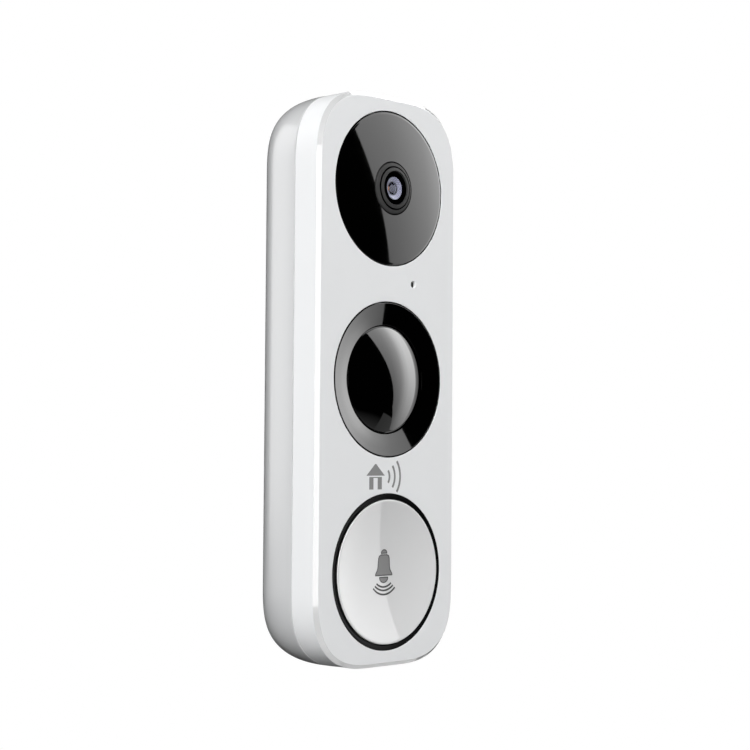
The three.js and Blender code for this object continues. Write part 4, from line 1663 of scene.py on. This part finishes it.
INNER_PARTS = (
    Inner(Look.BRACKET, Slot.BRACKET, 0.3, ("wall_bracket",)),
    Inner(Look.CHASSIS, Slot.BLACK_GLOSS, 0.1, ("speaker_grille", "reset_button", "switch_plunger")),
    Inner(Look.STEEL, Slot.STEEL, 0.12, ("security_screw", *(f"housing_screw_{i}" for i in range(1, 5)))),
    Inner(Look.BRASS, Slot.BRASS, 0.1, ("terminal_screw_left", "terminal_screw_right", "terminal_plate_left",
                                        "terminal_plate_right")),
    Inner(Look.TIN, Slot.TIN, 0.2, ("processor_shield", "radio_module", "card_socket", "microphone",
                                    "pir_sensor")),
    Inner(Look.CHIP, Slot.CHIP, 0.15, ("power_inductor", "backup_capacitor", "board_connector", "speaker",
                                       "lens_holder", "reset_switch", "button_switch", "image_sensor")),
    Inner(Look.EMITTER, Slot.BLACK_GLOSS, 0.05, (*(f"ir_led_{i}" for i in range(1, 5)), "light_sensor")),
    Inner(Look.RUBBER, Slot.RUBBER, 0.1, ("window_seal", "button_seal", "mic_gasket")),
    Inner(Look.FLEX, Slot.FLEX, 0.05, ("ir_cut_coil",)),
)

SHOWN_AS_MADE = (
    (Look.CHASSIS, ("front_chassis", "pir_retainer")),
    (Look.RUBBER, ("housing_seal",)),
    (Look.BOARD, ("main_board", "sensor_board", "ir_led_board", "button_board", "pir_board")),
    (Look.FLEX, ("mic_flex", "antenna")),
    (Look.INNER_GLASS, ("rear_lens", "ir_cut_filter")),
)


class InnerParts:
    """Everything inside the shells and behind them."""

    def build(self) -> None:
        """Softens the parts whose edges show and dresses the rest."""
        for kind in INNER_PARTS:
            for name in kind.nodes:
                softened(name, kind.look, kind.slot, kind.radius)
        for look, names in SHOWN_AS_MADE:
            dress(look, *names)


# ---------------------------------------------------------------- studio
PANEL_UNSEEN_BY = ("camera", "diffuse", "shadow", "transmission")


def add_sheet(name: str, mesh: bmesh.types.BMesh, material: bpy.types.Material,
              unseen_by: Sequence[str]) -> None:
    """Adds a sheet of light to the studio.

    Args:
        name: its name.
        mesh: its shape, in millimetres; it is freed.
        material: its light.
        unseen_by: the kinds of ray that pass through it, such as "camera".
    """
    data = bpy.data.meshes.new(name)
    mesh.to_mesh(data)
    mesh.free()
    data.transform(Matrix.Scale(MM, 4))
    data.materials.append(material)
    sheet = bpy.data.objects.new(name, data)
    bpy.context.scene.collection.objects.link(sheet)
    for ray in unseen_by:
        setattr(sheet, f"visible_{ray}", False)
    sheet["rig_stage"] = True


def direction(azimuth: float, elevation: float) -> Vector:
    """A unit vector out of the face: azimuth in degrees towards +X, elevation towards +Z."""
    a, e = math.radians(azimuth), math.radians(elevation)
    return Vector((math.sin(a) * math.cos(e), -math.cos(a) * math.cos(e), math.sin(e)))


@dataclass(frozen=True)
class Lamp:
    """A soft area light aimed at the doorbell."""

    name: str
    azimuth: float
    elevation: float
    size: float
    power: float
    distance: float = 1.2
    glossy: bool = False

    def build(self) -> None:
        """Adds the light."""
        data = bpy.data.lights.new(self.name, "AREA")
        data.shape, data.size, data.energy = "DISK", self.size, self.power
        lamp = bpy.data.objects.new(self.name, data)
        bpy.context.scene.collection.objects.link(lamp)
        towards = direction(self.azimuth, self.elevation)
        lamp.location = towards * self.distance
        lamp.rotation_euler = towards.to_track_quat("Z", "Y").to_euler()
        lamp.visible_glossy = self.glossy
        lamp.visible_camera = False
        lamp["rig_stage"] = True


@dataclass
class ReflectionPanel:
    """A tall soft box beside the doorbell, seen only in its gloss."""

    radius: float = 2.0
    edge_azimuth: float = 44.9
    edge_slant: float = -0.42
    far_azimuth: float = 112.0
    low: float = -29.0
    high: float = 58.0
    knee: Point = (42.0, -16.0)
    knee_jump: float = 9.0
    knee_slope: float = 1.06
    bend_from: float = 20.0
    bend: float = 0.0042
    rows: int = 90
    columns: int = 60
    stops: tuple[tuple[float, float], ...] = ((40.0, 1.9), (47.0, 2.05), (58.0, 2.75), (66.0, 4.0),
                                              (73.0, 4.2), (80.0, 3.6), (92.0, 2.3), (112.0, 1.8))
    peak: float = 5.0
    rise: float = 0.024

    def edge(self, elevation: float) -> float:
        """The panel's near edge.

        Args:
            elevation: the elevation where it is wanted, in degrees.

        Returns:
            Its azimuth there, in degrees.
        """
        if elevation < self.knee[1]:
            return self.knee[0] + self.knee_jump + (self.knee[1] - elevation) * self.knee_slope
        bend = self.bend * max(elevation - self.bend_from, 0.0) ** 2
        return self.edge_azimuth + self.edge_slant * elevation + bend

    def build(self) -> None:
        """Builds the panel as a patch of a large sphere round the doorbell."""
        grid = []
        for j in range(self.rows + 1):
            elevation = self.low + (self.high - self.low) * j / self.rows
            near = self.edge(elevation)
            places = [near + (self.far_azimuth - near) * (i / self.columns) for i in range(self.columns + 1)]
            grid.append([direction(a, elevation) * self.radius / MM for a in places])
        add_sheet("reflection_panel", patch(grid), self.material(), PANEL_UNSEEN_BY)

    def material(self) -> bpy.types.Material:
        """Light that changes with the azimuth.

        Returns:
            The material.
        """
        g = Graph("panel_light")
        ends = {0: g.axis_mm("x"), 1: g.axis_mm("y") * -1}
        azimuth = g.value("ShaderNodeMath", {"operation": "ARCTAN2"}, ends)
        first, last = self.stops[0][0], self.stops[-1][0]
        place = (azimuth * (180 / math.pi) - first) / (last - first)
        stops = [((a - first) / (last - first), (v / self.peak,) * 3 + (1.0,)) for a, v in self.stops]
        ramp = g.value("ShaderNodeValToRGB", {"stops": stops}, {0: place})
        elevation = g.axis_mm("z") * (180 / math.pi * MM / self.radius)
        level = ramp * (elevation * self.rise + 1.0)
        light = g.node("ShaderNodeEmission", {}, {"Color": level, "Strength": self.peak})
        return g.finish(light)


@dataclass(frozen=True)
class GlowPanel:
    """A patch of even light that only gloss sees, given by its ranges of azimuth and elevation."""

    name: str
    azimuths: Point
    elevations: Point
    level: float
    fade: float = 0.0
    radius: float = 2.1
    steps: int = 24

    def build(self) -> None:
        """Builds the patch, whose light fades towards its top edge."""
        (a0, a1), (e0, e1) = self.azimuths, self.elevations
        shares = [i / self.steps for i in range(self.steps + 1)]
        grid = [[direction(a0 + (a1 - a0) * s, e0 + (e1 - e0) * rise) * self.radius / MM for s in shares]
                for rise in shares]
        g = Graph(self.name)
        low, high = (self.radius * math.sin(math.radians(e)) / MM for e in self.elevations)
        level = 1 - g.axis_mm("z").band(low, high) * self.fade
        light = g.node("ShaderNodeEmission", {}, {"Color": level, "Strength": self.level})
        add_sheet(self.name, patch(grid), g.finish(light), PANEL_UNSEEN_BY)


@dataclass
class Studio:
    """The camera, lights, floor and surroundings."""

    eye: tuple[float, float, float] = (-304.14, -306.45, -15.5)
    forward: tuple[float, float, float] = (0.72573, 0.68684, 0.03969)
    right: tuple[float, float, float] = (0.68715, -0.72648, 0.00726)
    lens: float = 87.0
    ambient_top: float = 0.72
    ambient_turn: float = -0.45
    ambient_bottom: float = 0.015
    lamps: tuple[Lamp, ...] = (
        Lamp("key", -58, 22, 0.7, 15.5),
        Lamp("low_fill", -25, -36, 0.8, 2.7),
        Lamp("back_fill", 165, 30, 1.2, 1.2, 1.8),
        Lamp("side_fill", 95, 10, 1.0, 2.0, 1.8),
    )
    glow_panels: tuple[GlowPanel, ...] = (
        GlowPanel("front_left_glow", (-62, -34), (-11, 17), 2.0, radius=2.05),
        GlowPanel("ground_glow", (-60, 112), (-80, -26), 1.3, 1.0),
        GlowPanel("under_panel_glow", (42, 76), (-66, -23), 0.5, radius=2.02),
        GlowPanel("wall_glow", (-168, -136), (-4, 36), 2.3),
        GlowPanel("low_right_glow", (60, 112), (-62, -36), 1.2, radius=2.0),
        GlowPanel("low_left_glow", (-50, 30), (-75, -46), 0.8, radius=2.0),
    )
    floor_z: float = -65.5
    floor_gap: float = 0.5
    floor_half: float = 600.0

    def build(self) -> None:
        """Sets everything up round the doorbell."""
        scene = bpy.context.scene
        scene.view_settings.view_transform = "Standard"
        self.camera()
        self.surroundings()
        self.floor()
        for lamp in self.lamps:
            lamp.build()
        ReflectionPanel().build()
        for sheet in self.glow_panels:
            sheet.build()

    def camera(self) -> None:
        """The camera, level with the doorbell's middle and turned to its left side."""
        data = bpy.data.cameras.new("camera")
        data.lens, data.sensor_width, data.clip_start = self.lens, 36.0, 0.01
        made = bpy.data.objects.new("camera", data)
        bpy.context.scene.collection.objects.link(made)
        forward = Vector(self.forward).normalized()
        right = Vector(self.right)
        right = (right - forward * right.dot(forward)).normalized()
        up = right.cross(forward)
        turn = Matrix((right, up, -forward)).transposed().to_4x4()
        made.matrix_world = Matrix.Translation(Vector(self.eye) * MM) @ turn
        bpy.context.scene.camera = made
        made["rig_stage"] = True

    def surroundings(self) -> None:
        """White behind the doorbell, and a soft light on it that is stronger from above."""
        world = bpy.data.worlds.new("studio")
        bpy.context.scene.world = world
        g = Graph("studio", world)
        place = g.node("ShaderNodeTexCoord").outputs["Generated"]
        height = g.value("ShaderNodeSeparateXYZ", {}, {0: place}, "Z")
        level = g.value("ShaderNodeMapRange", {}, {
            "Value": height, "From Min": self.ambient_turn, "From Max": 1.0,
            "To Min": self.ambient_bottom, "To Max": self.ambient_top})
        seen = g.value("ShaderNodeLightPath", {}, {}, "Is Camera Ray")
        shine = g.node("ShaderNodeBackground", {}, {"Color": g.mix(seen, level, WHITE)})
        g.node("ShaderNodeOutputWorld", {}, {"Surface": shine.outputs[0]})
        world.cycles_visibility.glossy = False

    def floor(self) -> None:
        """A pale floor that meets the white surroundings without a line."""
        g = Graph("floor_white")
        light = g.node("ShaderNodeEmission", {}, {"Color": WHITE, "Strength": 1.0})
        z, half = self.floor_z - self.floor_gap, self.floor_half
        rows = [[Vector((x, y, z)) for x in (-half, half)] for y in (-half, half)]
        add_sheet("floor", patch(rows), g.finish(light), ("diffuse", "glossy", "shadow"))


# ---------------------------------------------------------------- the whole doorbell
def write_sizes() -> None:
    """Gathers the box of the CAD and of the finished piece."""
    boxes = {"cad": CAD_BOUNDS, "scene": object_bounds()}
    plain = {name: [list(corner) for corner in corners] for name, corners in boxes.items()}


def main() -> None:
    """Builds the doorbell's sub-assemblies and the studio in order."""
    logging.basicConfig(level=logging.INFO, format="%(name)s: %(message)s")
    parts = (Faceplate(), RearHousing(), CameraEye(), MotionSensor(), BellButton(), HomeMark(),
             InnerParts())
    for part in parts:
        part.build()
        LOG.info("%s is done", type(part).__name__)
    Studio().build()
    write_sizes()


if __name__ == "__main__":
    main()
